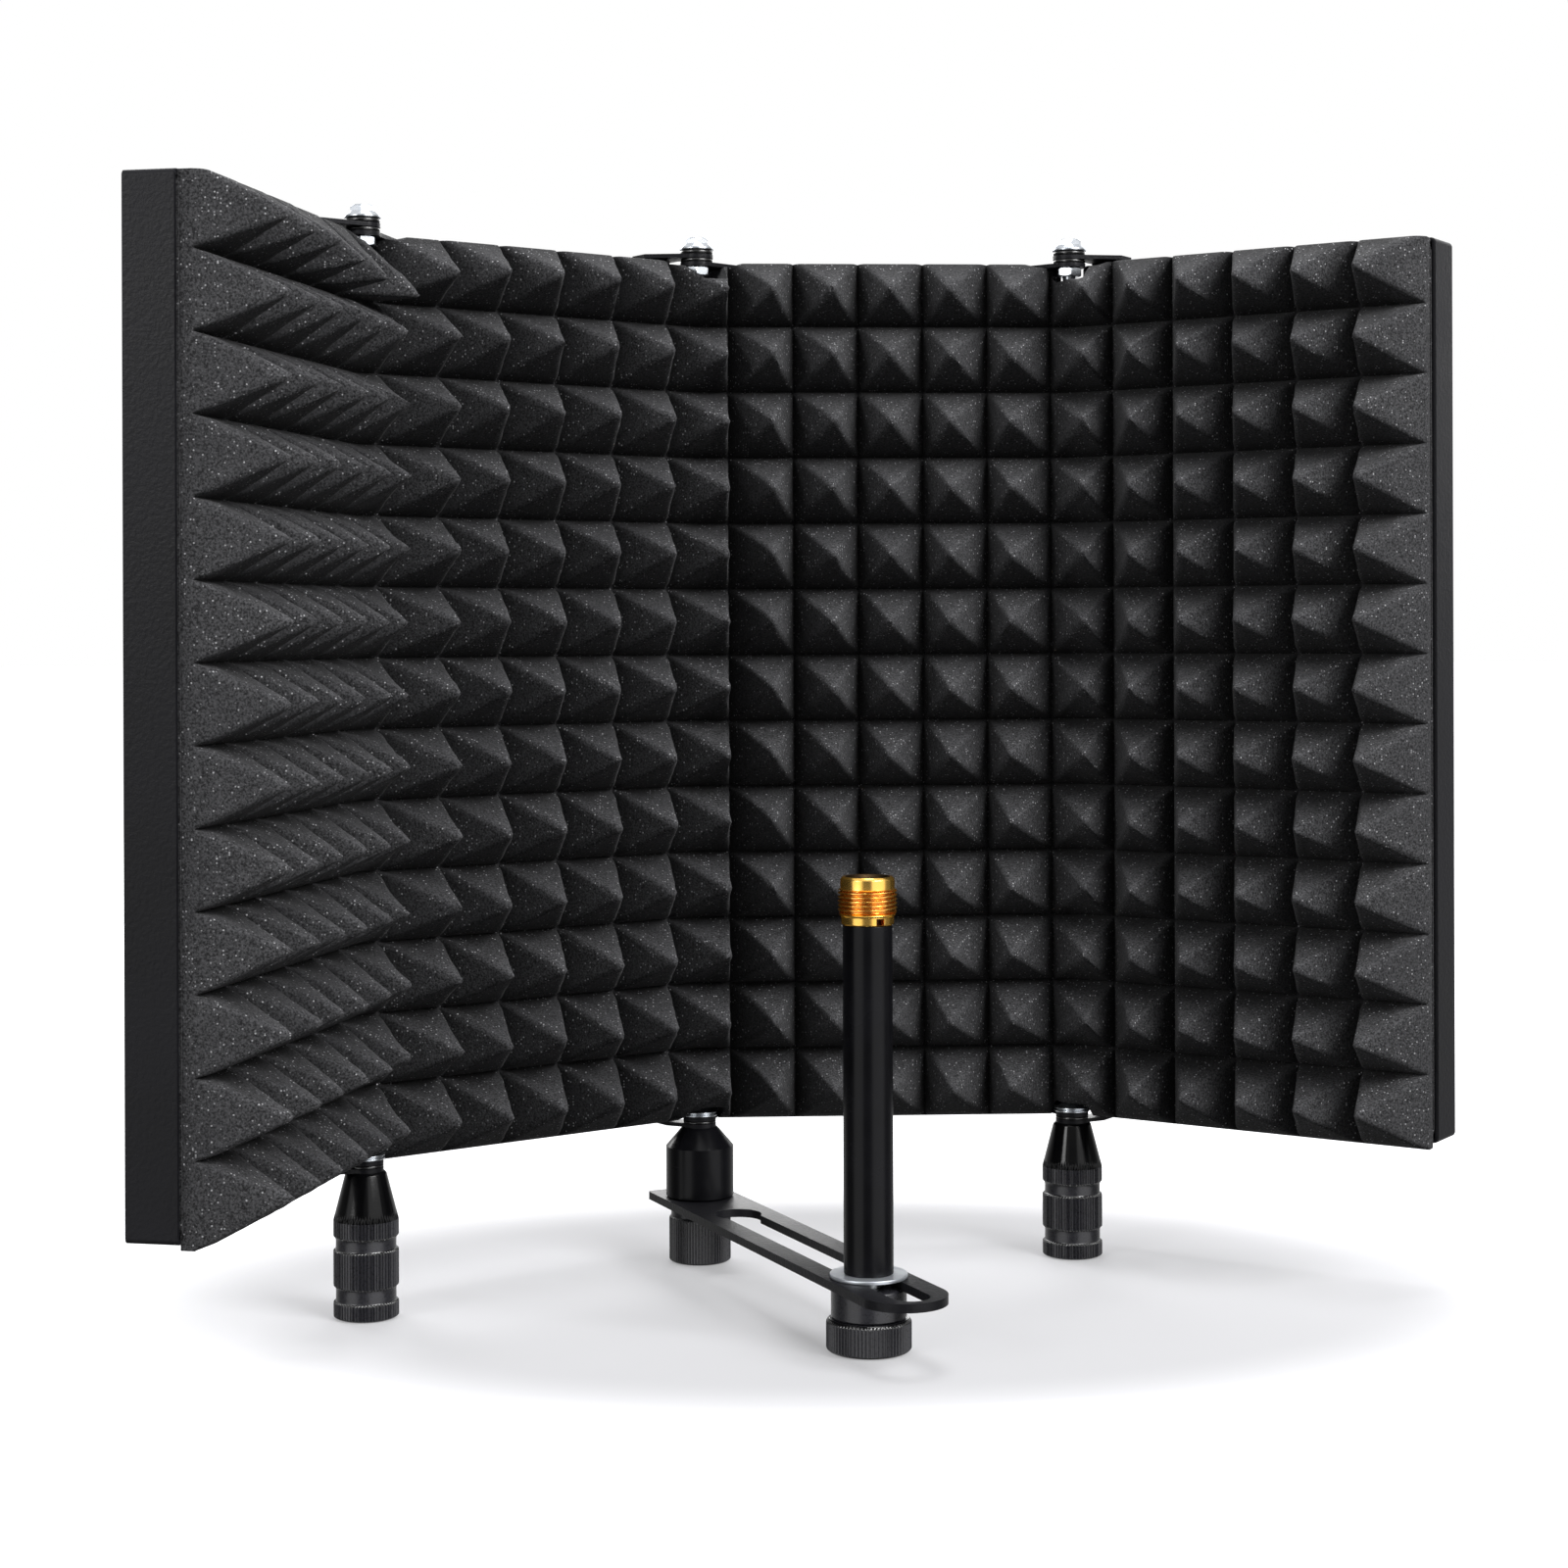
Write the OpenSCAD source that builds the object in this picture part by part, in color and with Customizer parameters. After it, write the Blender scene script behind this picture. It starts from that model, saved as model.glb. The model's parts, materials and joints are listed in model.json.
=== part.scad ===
// Folding microphone isolation shield: four hinged steel trays lined with
// pyramid foam, standing on two feet and a stand adapter that carries a
// slotted arm with an upright microphone post.
//
// Frame: the origin is on the middle hinge's axis, at table level. +X runs
// along the right centre panel, +Y is behind the shield, +Z is up.

/* [Panels] */
// Distance between two hinge axes, and from an outer hinge to a free end
panel_l = 115; // [113:0.5:118]
// Height of the underside of the trays above the table
panel_z = 44.3; // [43.5:0.1:48]
// Height of a tray
panel_h = 261.4; // [230:0.1:300]
// Depth of a tray from its lips to its back
tray_d = 13.6; // [11:0.2:18]
// Distance from the hinge axis back to the lips
lip_y = 6.6; // [6:0.2:9]
// Thickness of the tray's steel
steel_t = 1.2; // [0.8:0.1:1.4]
// Outer corner radius of a tray
corner_r = 1.5; // [1.5:0.5:6]
// Gap between a tray's end and the hinge axis
end_gap = 1.5; // [1.5:0.1:2.5]

/* [Perforation] */
// Diameter of a vent hole in the back
vent_d = 6; // [3:0.5:7]
// Distance between vent holes in a row
vent_pitch = 13; // [12:0.5:20]

/* [Foam] */
// Pyramids on one panel, along its length
pyramid_cols = 5; // [3:1:5]
// Pyramids on one panel, up its height
pyramid_rows = 13; // [8:1:16]
// Width of one pyramid along the panel
pyramid_w = 19.8; // [19:0.1:19.8]
// Height of a pyramid from the valley to its tip
pyramid_h = 21.4; // [14:0.2:22]
// Distance from the hinge axis back to the valleys between pyramids
valley_y = 1.2; // [1:0.2:4]

/* [Fold] */
// Fold of the left wing against the left centre panel
left_fold = 42; // [0:1:55]
// Fold between the two centre panels
middle_fold = 34; // [0:1:55]
// Fold of the right wing against the right centre panel
right_fold = 36; // [0:1:55]

/* [Hinges] */
// Diameter of a hinge bolt
bolt_d = 4; // [3:0.5:4.5]
// Diameter of a hinge ear and of the rings between the ears
ear_d = 10; // [9:0.2:11]
// Running clearance round a hinge bolt
bolt_play = 0.05; // [0.03:0.01:0.1]

/* [Feet] */
// Largest diameter of a foot
foot_d = 18.4; // [16:0.2:22]
// Diameter of a foot at its top
foot_top_d = 11.6; // [11:0.2:14]

/* [Arm] */
// Width of the slotted arm
arm_w = 23.5; // [19:0.5:26]
// Thickness of the slotted arm
arm_t = 2.4; // [1.5:0.1:3]
// Distance from the middle hinge to the arm's rounded end
arm_l = 150.5; // [145:0.5:160]
// Width of the slot
slot_w = 10.6; // [8.4:0.1:12]
// Swing of the arm from straight ahead towards the right
arm_swing = 21.5; // [0:0.5:50]
// Distance from the middle hinge to the post
post_r = 118; // [70:1:136]

/* [Post] */
// Outer diameter of the post's tube
tube_d = 13.4; // [12:0.2:16]
// Height of the post up to its thread adapter
tube_top = 114; // [90:1:150]

/* [Hidden] */

$fn = 64;
cut = 1;                          // how far a cutter runs past a face
play = 0.05;                      // gap between faces that turn on each other

black_steel = [0.07, 0.07, 0.08];
foam_grey = [0.17, 0.17, 0.18];
zinc = [0.75, 0.77, 0.78];
gloss_black = [0.05, 0.05, 0.055];
rubber_black = [0.04, 0.04, 0.04];
gold = [0.83, 0.65, 0.25];

// Panels
panel_top = panel_z + panel_h;
back_y = lip_y + tray_d;
inner_d = tray_d - steel_t;
vent_margin = 12;
vent_cols = floor((panel_l - 2 * end_gap - 2 * vent_margin) / vent_pitch) + 1;
vent_rows = floor((panel_h - 2 * vent_margin) / vent_pitch) + 1;
foam_side_gap = 0.4;              // foam to the plane of a hinge axis
foam_end_gap = 1.6;               // foam to the outer face of a free end
pyramid_row_h = panel_h / pyramid_rows;
pyramid_tip = 2.2;                // width of the blunt tip of a pyramid
ear_notch_r = 17;                 // foam cut back below the ears' sweep
nut_notch_r = 6;                  // round a top nut
head_notch_r = 7;                 // and over a bottom bolt's head
head_notch_h = 2.6;
// Where each panel's own pyramids start. The whole foam is centred on the
// middle hinge, and the pyramids over a hinge belong to neither panel.
wing_start = (pyramid_cols + 1.5) * pyramid_w - panel_l;
right_centre_start = pyramid_w / 2;
left_centre_start = panel_l - (pyramid_cols + 0.5) * pyramid_w;

// Which ear each panel has at its ends: "inner", "outer" or "free" for none
wing_ends = ["outer", "free"];
left_centre_ends = ["inner", "outer"];
right_centre_ends = ["inner", "inner"];

// Ears, named by how far their outer face lies beyond the tray's face
ear_ring_t = 1.2;                 // ring between the two top ears
top_outer_lift = steel_t + ear_ring_t;
bottom_washer_t = 0.9;            // washer between the two bottom ears
bottom_inner_drop = 1.3;
bottom_outer_drop = bottom_inner_drop + steel_t + bottom_washer_t;
ear_hole_d = bolt_d + 2 * bolt_play;
ear_back = 7;                     // ear's root behind the lips
top_ear_reach = 13;               // ear's root along its tray, at the top
bottom_ear_reach = 6;             // and at the bottom
top_outer_z = panel_top + top_outer_lift;          // top of the upper ear
foot_top_z = panel_z - bottom_outer_drop;          // underside of the outer ear

// Fasteners
edge = 0.5;                       // broken edge of a turned part
head_ring_t = 1.4;                // ring under the bolt's flange
flange_d = 9.8;
flange_t = 1.3;
flange_z = top_outer_z + head_ring_t;
hex_w = 7;
hex_d = hex_w / cos(30);
hex_h = 2.6;
head_top_z = flange_z + flange_t + hex_h;
nut_t = 2.8;
nut_z = panel_top - steel_t - nut_t;
thread_end = 1.4;                 // bolt standing out of its nut
button_d = 7.6;
button_flange_d = 10.9;
button_flange_t = 1;
button_h = 2;
button_base_z = panel_z - bottom_inner_drop + steel_t;
shank_bottom_z = 28;

// Feet, from the table up: ring, groove, grip, groove, band and cone
groove = 0.6;
ring_top = 4.9;
grip_z = 8.6;
grip_top = 19.4;
band_z = 22.6;
cone_z = 26.8;
cone_top_z = foot_top_z - play;

// Stand adapter
stand_d = 20.6;
stand_nut_d = 18.8;
arm_top_z = 19.5;
arm_z = arm_top_z - arm_t;
stand_thread_d = 14.9;            // minor diameter of a 5/8 inch 27 nut thread
stand_thread_l = 11;
spigot_d = 8;
spigot_z = stand_thread_l + 2;
stand_shoulder_z = 35.1;
stand_grip_top = 13.8;

// Arm, along its length from the middle hinge
arm_back = 14;                    // square end behind the hinge
arm_corner_r = 1.5;
key_x = 29.5;                     // round hole at the slot's start
key_d = 14;
slot_end = arm_l - 2.6 - slot_w / 2;

// Post
post_nut_d = 23;
post_nut_h = 8.7;
bushing_d = 20.4;
stud_d = 8;
post_washer_d = 21;
post_washer_t = 1;
adapter_h = 12.9;
low_collar_r = 7.1;
top_collar_r = 7.3;
mic_thread_z = 3.4;               // thread above the adapter's underside
mic_thread_l = 6;
mic_thread_d = 15.875;            // 5/8 inch 27 thread, outside
top_thread_d = 8.5;               // 3/8 inch 16 thread, pitch diameter
stud_z = 1.5;
stud_top = tube_top + 5;

// Places a child, drawn with its hinge at the origin and its panel along +X,
// on each of the four panels in turn.
module at_left_hinge() {
    rotate([0, 0, middle_fold]) translate([-panel_l, 0, 0]) children();
}

module at_right_hinge() {
    translate([panel_l, 0, 0]) children();
}

module on_right_centre() {
    children();
}

module on_right_wing() {
    at_right_hinge() rotate([0, 0, -right_fold]) children();
}

module on_left_centre() {
    at_left_hinge() children();
}

module on_left_wing() {
    at_left_hinge() rotate([0, 0, left_fold]) mirror([1, 0, 0]) children();
}

// Rectangle in the X and Y directions with round corners, from its own origin.
module round_rect(w, h, r) {
    translate([r, 0]) square([w - 2 * r, h]);
    translate([0, r]) square([w, h - 2 * r]);
    for (x = [r, w - r], y = [r, h - r]) translate([x, y]) circle(r);
}

// Stands a flat outline up, so that its Y becomes Z and it runs back from y.
module upright(y, depth) {
    translate([0, y + depth, 0]) rotate([90, 0, 0]) linear_extrude(depth) children();
}

// One hinge ear with its hole at the origin and its neck towards +X. Its
// lower face lies at z, its root runs along the tray for reach, and a joggle
// of the given height joins it to the tray.
module ear(z, reach, joggle, joggle_z) {
    root_x = end_gap + 0.1;
    root_y = lip_y + ear_back;
    neck = [
        [-3.5, 3.57], [root_x, lip_y + 1], [root_x, root_y], [root_x + reach, root_y],
        [root_x + reach, lip_y + 0.2], [1.5, -4.77]
    ];
    translate([0, 0, z]) linear_extrude(steel_t) difference() {
        union() {
            circle(d = ear_d);
            polygon(neck);
        }
        circle(d = ear_hole_d);
    }
    if (joggle > 0) {
        translate([root_x, root_y - steel_t, joggle_z]) cube([reach, steel_t, joggle]);
    }
}

// Ears at the top and bottom of a tray's end. The outer pair is drawn on the
// outside of the inner pair of the neighbouring tray.
module ear_pair(outer) {
    if (outer) {
        ear(top_outer_z - steel_t, top_ear_reach, ear_ring_t, panel_top);
        ear(foot_top_z, bottom_ear_reach, bottom_outer_drop - steel_t, foot_top_z + steel_t);
    } else {
        ear(panel_top - steel_t, top_ear_reach, 0, 0);
        ear(panel_z - bottom_inner_drop, bottom_ear_reach, bottom_inner_drop - steel_t,
            panel_z - bottom_inner_drop + steel_t);
    }
}

// A folded steel tray, open to the front, with a perforated back. ends says
// which ear each end has: "inner", "outer" or "free".
module tray(ends) {
    x0 = end_gap;
    x1 = ends[1] == "free" ? panel_l : panel_l - end_gap;
    w = x1 - x0;
    color(black_steel) {
        difference() {
            translate([x0, 0, panel_z]) upright(lip_y, tray_d) round_rect(w, panel_h, corner_r);
            translate([x0 + steel_t, 0, panel_z + steel_t]) upright(lip_y - cut, inner_d + cut)
                round_rect(w - 2 * steel_t, panel_h - 2 * steel_t, corner_r - steel_t);
            vents(x0 + w / 2);
        }
        if (ends[0] != "free") ear_pair(ends[0] == "outer");
        if (ends[1] != "free") translate([panel_l, 0, 0]) mirror([1, 0, 0]) ear_pair(ends[1] == "outer");
    }
}

// Vent holes, staggered from row to row, centred on x.
module vents(x) {
    for (row = [0 : vent_rows - 1]) {
        cols = row % 2 == 0 ? vent_cols : vent_cols - 1;
        for (col = [0 : cols - 1])
            translate([x + (col - (cols - 1) / 2) * vent_pitch, back_y + cut,
                       panel_z + panel_h / 2 + (row - (vent_rows - 1) / 2) * vent_pitch])
                rotate([90, 0, 0]) cylinder(d = vent_d, h = steel_t + 2 * cut);
    }
}

// Foam for one panel: a block in the tray, a slab in front of the lips and
// the panel's own pyramids, of which the first starts at start. The slab is
// cut back round each hinge's hardware.
module foam(ends, start) {
    free = ends[1] == "free";
    x0 = end_gap + steel_t;
    x1 = (free ? panel_l : panel_l - end_gap) - steel_t;
    slab_x1 = free ? panel_l - foam_end_gap : panel_l - foam_side_gap;
    color(foam_grey) difference() {
        union() {
            translate([x0, 0, panel_z + steel_t])
                upright(lip_y, inner_d)
                round_rect(x1 - x0, panel_h - 2 * steel_t, corner_r - steel_t);
            translate([foam_side_gap, valley_y, panel_z])
                cube([slab_x1 - foam_side_gap, lip_y - valley_y, panel_h]);
            pyramids(start);
        }
        hinge_notches();
        if (!free) translate([panel_l, 0, 0]) hinge_notches();
    }
}

// A grid of blunt four-sided pyramids over the valleys.
module pyramids(start) {
    for (col = [0 : pyramid_cols - 1])
        translate([start + (col + 0.5) * pyramid_w, valley_y, panel_z])
            pyramid_column();
}

// One column of pyramids, cut as a prism along the height and then crossed by
// the valleys between the rows.
module pyramid_column() {
    half = pyramid_w / 2;
    tip = pyramid_tip / 2;
    intersection() {
        linear_extrude(panel_h)
            polygon([[-half, 0], [half, 0], [tip, -pyramid_h], [-tip, -pyramid_h]]);
        translate([-half, 0, 0]) rotate([90, 0, 90]) linear_extrude(pyramid_w)
            polygon([for (row = [0 : pyramid_rows - 1], k = [0 : 3]) row_outline(row, k),
                     [0, panel_h], [cut, panel_h], [cut, 0]]);
    }
}

// Corner k of one row's outline: valley, tip, tip, valley.
function row_outline(row, k) =
    let (z = row * pyramid_row_h,
         mid = z + pyramid_row_h / 2,
         tip = pyramid_tip / 2)
    k == 0 ? [0, z] :
    k == 1 ? [-pyramid_h, mid - tip] :
    k == 2 ? [-pyramid_h, mid + tip] :
    [0, z + pyramid_row_h];

// What the foam leaves clear round one hinge axis: the bolt head and nut at
// the top and bottom, and the sweep of the ears.
module hinge_notches() {
    translate([0, 0, panel_top - steel_t - play]) cylinder(r = ear_notch_r, h = 2 * steel_t);
    translate([0, 0, nut_z - thread_end - 0.5]) cylinder(r = nut_notch_r, h = panel_top);
    translate([0, 0, panel_z - cut]) cylinder(r = head_notch_r, h = head_notch_h + cut);
}

// A flanged hex bolt over the upper ear, with its shank down past the nut.
module top_bolt() {
    chamfer_r = hex_w / 2 - 0.4;
    color(zinc) {
        difference() {
            union() {
                translate([0, 0, flange_z]) cylinder(d = flange_d, h = flange_t);
                translate([0, 0, flange_z + flange_t / 2])
                    cylinder(d = hex_d, h = hex_h + flange_t / 2, $fn = 6);
            }
            translate([0, 0, head_top_z]) rotate_extrude()
                polygon([[chamfer_r, 0], [hex_d, -1.2], [hex_d, cut], [chamfer_r, cut]]);
        }
        translate([0, 0, nut_z - thread_end])
            cylinder(d = bolt_d, h = flange_z + flange_t / 2 - nut_z + thread_end);
    }
}

// The rings of one top hinge: one between the ears and one under the bolt.
module top_rings() {
    color(rubber_black) {
        turned_ring(panel_top + play / 2, ear_ring_t - play);
        turned_ring(top_outer_z + play / 2, head_ring_t - play / 2);
    }
}

// A flat ring with rounded edges, with a bore that fits its bolt.
module turned_ring(z, h) {
    r = ear_d / 2;
    e = min(0.35, h / 3);
    translate([0, 0, z]) rotate_extrude()
        polygon([[bolt_d / 2, 0], [r - e, 0], [r, e], [r, h - e], [r - e, h], [bolt_d / 2, h]]);
}

// The hex nut under the lower ear.
module top_nut() {
    color(zinc) translate([0, 0, nut_z]) difference() {
        cylinder(d = hex_d, h = nut_t, $fn = 6);
        translate([0, 0, -cut]) cylinder(d = bolt_d, h = nut_t + 2 * cut);
    }
}

// A flanged button-head bolt that runs down into a foot or the adapter.
module bottom_bolt() {
    r = button_d / 2;
    rim = button_flange_d / 2;
    round = 0.3;
    color(zinc) {
        translate([0, 0, button_base_z]) rotate_extrude() polygon([
            [0, 0], [rim - round, 0], [rim, round], [rim, button_flange_t - round],
            [rim - round, button_flange_t], [r, button_flange_t], [r, button_h - edge],
            [r - edge, button_h], [0, button_h]
        ]);
        translate([0, 0, shank_bottom_z])
            cylinder(d = bolt_d, h = button_base_z + button_flange_t / 2 - shank_bottom_z);
    }
}

// The washer between the two bottom ears.
module bottom_washer() {
    color(rubber_black)
        turned_ring(foot_top_z + steel_t + play / 2, bottom_washer_t - play);
}

// A turned foot: plain ring, knurled grip, groove, knurled band and cone.
module foot() {
    r = foot_d / 2;
    top_r = foot_top_d / 2;
    neck = r - groove;
    color(gloss_black) difference() {
        rotate_extrude($fn = 96) polygon([
            [0, 0], [r - edge, 0], [r, edge], [r, ring_top - edge], [neck, ring_top],
            [neck, grip_z], [r, grip_z + edge], [r, grip_top - edge], [neck, grip_top],
            [neck, band_z], [r, band_z + edge], [r, cone_z - edge], [r - edge, cone_z],
            [top_r, cone_top_z - edge], [top_r - edge, cone_top_z], [0, cone_top_z]
        ]);
        translate([0, 0, shank_bottom_z - cut])
            cylinder(d = bolt_d + 2 * bolt_play, h = foot_top_z);
    }
}

// Upper half of the stand adapter: a plain cylinder with a conical top, and a
// threaded spigot that runs down through the arm into the knurled nut.
module stand_adapter_body() {
    r = stand_d / 2;
    top_r = foot_top_d / 2;
    base_z = arm_top_z + play;
    color(gloss_black) difference() {
        union() {
            rotate_extrude($fn = 96) polygon([
                [0, base_z], [r - edge, base_z], [r, base_z + edge], [r, stand_shoulder_z],
                [top_r, cone_top_z - edge], [top_r - edge, cone_top_z], [0, cone_top_z]
            ]);
            translate([0, 0, spigot_z]) cylinder(d = spigot_d, h = arm_top_z + cut - spigot_z);
        }
        translate([0, 0, shank_bottom_z]) cylinder(d = bolt_d, h = foot_top_z);
    }
}

// Knurled nut that clamps the arm and takes a 5/8 inch stand thread below.
module stand_adapter_nut() {
    r = stand_nut_d / 2;
    neck = r - edge;
    h = arm_z - play;
    color(gloss_black) difference() {
        rotate_extrude($fn = 96) polygon([
            [0, 0], [r - edge, 0], [r, edge], [r, stand_grip_top - edge], [neck, stand_grip_top],
            [neck, h - edge], [neck - edge, h], [0, h]
        ]);
        translate([0, 0, -cut]) cylinder(d = stand_thread_d, h = stand_thread_l + cut);
        cylinder(d = spigot_d + 2 * play, h = h + cut);
    }
}

// Places a child on the arm, with its origin on the post and +X outwards.
module on_arm(r) {
    rotate([0, 0, arm_swing - 90]) translate([r, 0, 0]) children();
}

// The slotted arm: square at the hinge, rounded at the far end, with a slot
// that opens out into a round hole near the hinge.
module arm_plate() {
    hw = arm_w / 2;
    corner = arm_corner_r;
    color(black_steel) on_arm(0) translate([0, 0, arm_z]) linear_extrude(arm_t) difference() {
        union() {
            translate([-arm_back, corner - hw]) square([arm_l + arm_back - hw, arm_w - 2 * corner]);
            translate([corner - arm_back, -hw]) square([arm_l + arm_back - hw - corner, arm_w]);
            for (side = [-1, 1]) translate([corner - arm_back, side * (hw - corner)]) circle(corner);
            translate([arm_l - hw, 0]) circle(hw);
        }
        circle(d = spigot_d + 2 * play);
        translate([key_x, 0]) circle(d = key_d);
        translate([key_x, -slot_w / 2]) square([slot_end - key_x, slot_w]);
        translate([slot_end, 0]) circle(d = slot_w);
    }
}

// A zinc washer on the arm, under the post's tube.
module post_washer() {
    color(zinc) on_arm(post_r) translate([0, 0, arm_top_z + play]) difference() {
        cylinder(d = post_washer_d, h = post_washer_t);
        translate([0, 0, -cut]) cylinder(d = stud_d, h = post_washer_t + 2 * cut);
    }
}

// The post's plain tube.
module post_tube() {
    z = arm_top_z + play + post_washer_t;
    color(gloss_black) on_arm(post_r) translate([0, 0, z]) difference() {
        cylinder(d = tube_d, h = tube_top - z);
        translate([0, 0, -cut]) cylinder(d = stud_d, h = tube_top);
    }
}

// A threaded stud through the whole post, from the nut into the adapter.
module post_stud() {
    color(zinc) on_arm(post_r) translate([0, 0, stud_z])
        cylinder(d = stud_d, h = stud_top - stud_z);
}

// The plain bushing under the arm.
module post_bushing() {
    r = bushing_d / 2;
    bore = stud_d / 2;
    h = arm_z - post_nut_h - 2 * play;
    color(gloss_black) on_arm(post_r) translate([0, 0, post_nut_h + play]) rotate_extrude()
        polygon([[bore, 0], [r - edge, 0], [r, edge], [r, h - edge], [r - edge, h], [bore, h]]);
}

// The knurled nut at the foot of the post.
module post_nut() {
    r = post_nut_d / 2;
    rim = 0.8;
    color(gloss_black) on_arm(post_r) difference() {
        rotate_extrude($fn = 96) polygon([
            [0, 0], [r - rim, 0], [r, rim], [r, post_nut_h - rim], [r - rim, post_nut_h],
            [0, post_nut_h]
        ]);
        translate([0, 0, stud_z - edge]) cylinder(d = stud_d + 2 * play, h = post_nut_h);
    }
}

// The thread adapter: 5/8 inch thread outside, 3/8 inch thread inside, with a
// collar above and below the thread.
module thread_adapter() {
    r = mic_thread_d / 2;
    top_edge = 0.8;
    color(gold) on_arm(post_r) translate([0, 0, tube_top + play]) difference() {
        rotate_extrude($fn = 96) polygon([
            [0, 0], [low_collar_r, 0], [low_collar_r, mic_thread_z - edge], [r, mic_thread_z],
            [r, mic_thread_z + mic_thread_l], [top_collar_r, mic_thread_z + mic_thread_l + edge],
            [top_collar_r, adapter_h - top_edge], [top_collar_r - top_edge, adapter_h],
            [0, adapter_h]
        ]);
        translate([0, 0, -cut]) cylinder(d = stud_d + 2 * play, h = stud_top - tube_top + cut);
        translate([0, 0, stud_top - tube_top]) cylinder(d = top_thread_d, h = adapter_h);
    }
}

on_left_wing() tray(wing_ends);  // left_wing_tray
on_left_wing() foam(wing_ends, wing_start);  // left_wing_foam
on_left_centre() tray(left_centre_ends);  // left_centre_tray
on_left_centre() foam(left_centre_ends, left_centre_start);  // left_centre_foam
on_right_centre() tray(right_centre_ends);  // right_centre_tray
on_right_centre() foam(right_centre_ends, right_centre_start);  // right_centre_foam
on_right_wing() tray(wing_ends);  // right_wing_tray
on_right_wing() foam(wing_ends, wing_start);  // right_wing_foam

at_left_hinge() top_bolt();  // left_top_bolt
at_left_hinge() top_rings();  // left_top_rings
at_left_hinge() top_nut();  // left_top_nut
top_bolt();  // middle_top_bolt
top_rings();  // middle_top_rings
top_nut();  // middle_top_nut
at_right_hinge() top_bolt();  // right_top_bolt
at_right_hinge() top_rings();  // right_top_rings
at_right_hinge() top_nut();  // right_top_nut

at_left_hinge() bottom_bolt();  // left_bottom_bolt
at_left_hinge() bottom_washer();  // left_bottom_washer
bottom_bolt();  // middle_bottom_bolt
bottom_washer();  // middle_bottom_washer
at_right_hinge() bottom_bolt();  // right_bottom_bolt
at_right_hinge() bottom_washer();  // right_bottom_washer

at_left_hinge() foot();  // left_foot
at_right_hinge() foot();  // right_foot
stand_adapter_body();
stand_adapter_nut();
arm_plate();
post_washer();
post_tube();
post_stud();
post_bushing();
post_nut();
thread_adapter();
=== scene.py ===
"""Looks of the folding microphone isolation shield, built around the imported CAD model."""

import json
import math

import bmesh
import bpy
import numpy as np
from mathutils import Matrix, Vector
from mathutils.kdtree import KDTree

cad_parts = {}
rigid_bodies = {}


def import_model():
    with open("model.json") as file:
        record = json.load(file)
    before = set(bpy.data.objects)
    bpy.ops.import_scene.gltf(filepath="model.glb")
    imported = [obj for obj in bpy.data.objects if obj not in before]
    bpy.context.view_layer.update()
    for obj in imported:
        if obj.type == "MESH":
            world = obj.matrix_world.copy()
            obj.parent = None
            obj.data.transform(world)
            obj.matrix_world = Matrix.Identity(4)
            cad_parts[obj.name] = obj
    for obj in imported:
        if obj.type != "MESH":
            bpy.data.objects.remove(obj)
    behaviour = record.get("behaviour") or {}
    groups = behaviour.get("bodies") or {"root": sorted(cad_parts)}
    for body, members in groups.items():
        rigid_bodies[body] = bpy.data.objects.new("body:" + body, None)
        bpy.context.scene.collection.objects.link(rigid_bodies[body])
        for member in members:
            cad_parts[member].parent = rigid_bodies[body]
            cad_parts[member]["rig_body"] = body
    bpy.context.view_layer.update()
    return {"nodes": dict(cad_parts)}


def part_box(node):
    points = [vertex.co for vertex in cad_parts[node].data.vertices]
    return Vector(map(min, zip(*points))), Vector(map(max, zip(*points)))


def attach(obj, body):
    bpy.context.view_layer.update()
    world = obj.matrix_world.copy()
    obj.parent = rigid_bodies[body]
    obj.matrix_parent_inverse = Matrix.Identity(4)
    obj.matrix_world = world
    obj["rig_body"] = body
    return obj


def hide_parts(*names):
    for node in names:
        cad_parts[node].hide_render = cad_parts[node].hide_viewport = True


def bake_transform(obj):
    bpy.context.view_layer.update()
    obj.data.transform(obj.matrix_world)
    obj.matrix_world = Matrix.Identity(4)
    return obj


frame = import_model()

MM = 0.001
NODES = frame["nodes"]
# Radii in mm where one piece goes into another, and the stand thread's depth and pitch.
BOLT_R, NUT_BORE_R, RING_BORE_R = 2.0, 2.05, 2.06     # the M4 hinge bolts, and what is on them
STUD_BORE_R = 4.05                                    # round the post's stud
STAND_THREAD_R, STAND_THREAD_L, STAND_PITCH = 7.45, 11, 0.94
MIC_THREAD_R, INNER_THREAD_R = 7.9375, 4.25


# ---------------------------------------------------------------- camera
# Fitted to measured points of the foam in the photo.
CAMERA_PLACE = (-0.0152, -0.8545, 0.1934)
CAMERA_YAW = math.radians(-2.79)
CAMERA_ROLL = math.radians(-0.2)
CAMERA_LENS = 63.9
CAMERA_SHIFT_Y = -0.099

camera_data = bpy.data.cameras.new("camera")
camera_data.lens = CAMERA_LENS
camera_data.sensor_width = 36
camera_data.shift_y = CAMERA_SHIFT_Y
camera_data.clip_start, camera_data.clip_end = 0.01, 100
camera = bpy.data.objects.new("camera", camera_data)
camera.matrix_world = (
    Matrix.Translation(CAMERA_PLACE)
    @ Matrix.Rotation(CAMERA_YAW, 4, "Z")
    @ Matrix.Rotation(math.radians(90), 4, "X")
    @ Matrix.Rotation(CAMERA_ROLL, 4, "Z")
)
bpy.context.scene.collection.objects.link(camera)
bpy.context.scene.camera = camera


# ---------------------------------------------------------------- materials
# Scales of noise and cells are features to the metre, and bump distances are metres.
RAMP_SOCKETS = ("From Min", "From Max", "To Min", "To Max")
FOAM_BODY_HEIGHT = 0.55            # the height attribute away from the pyramids: their middle tone, with neither painted shade nor painted light


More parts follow.
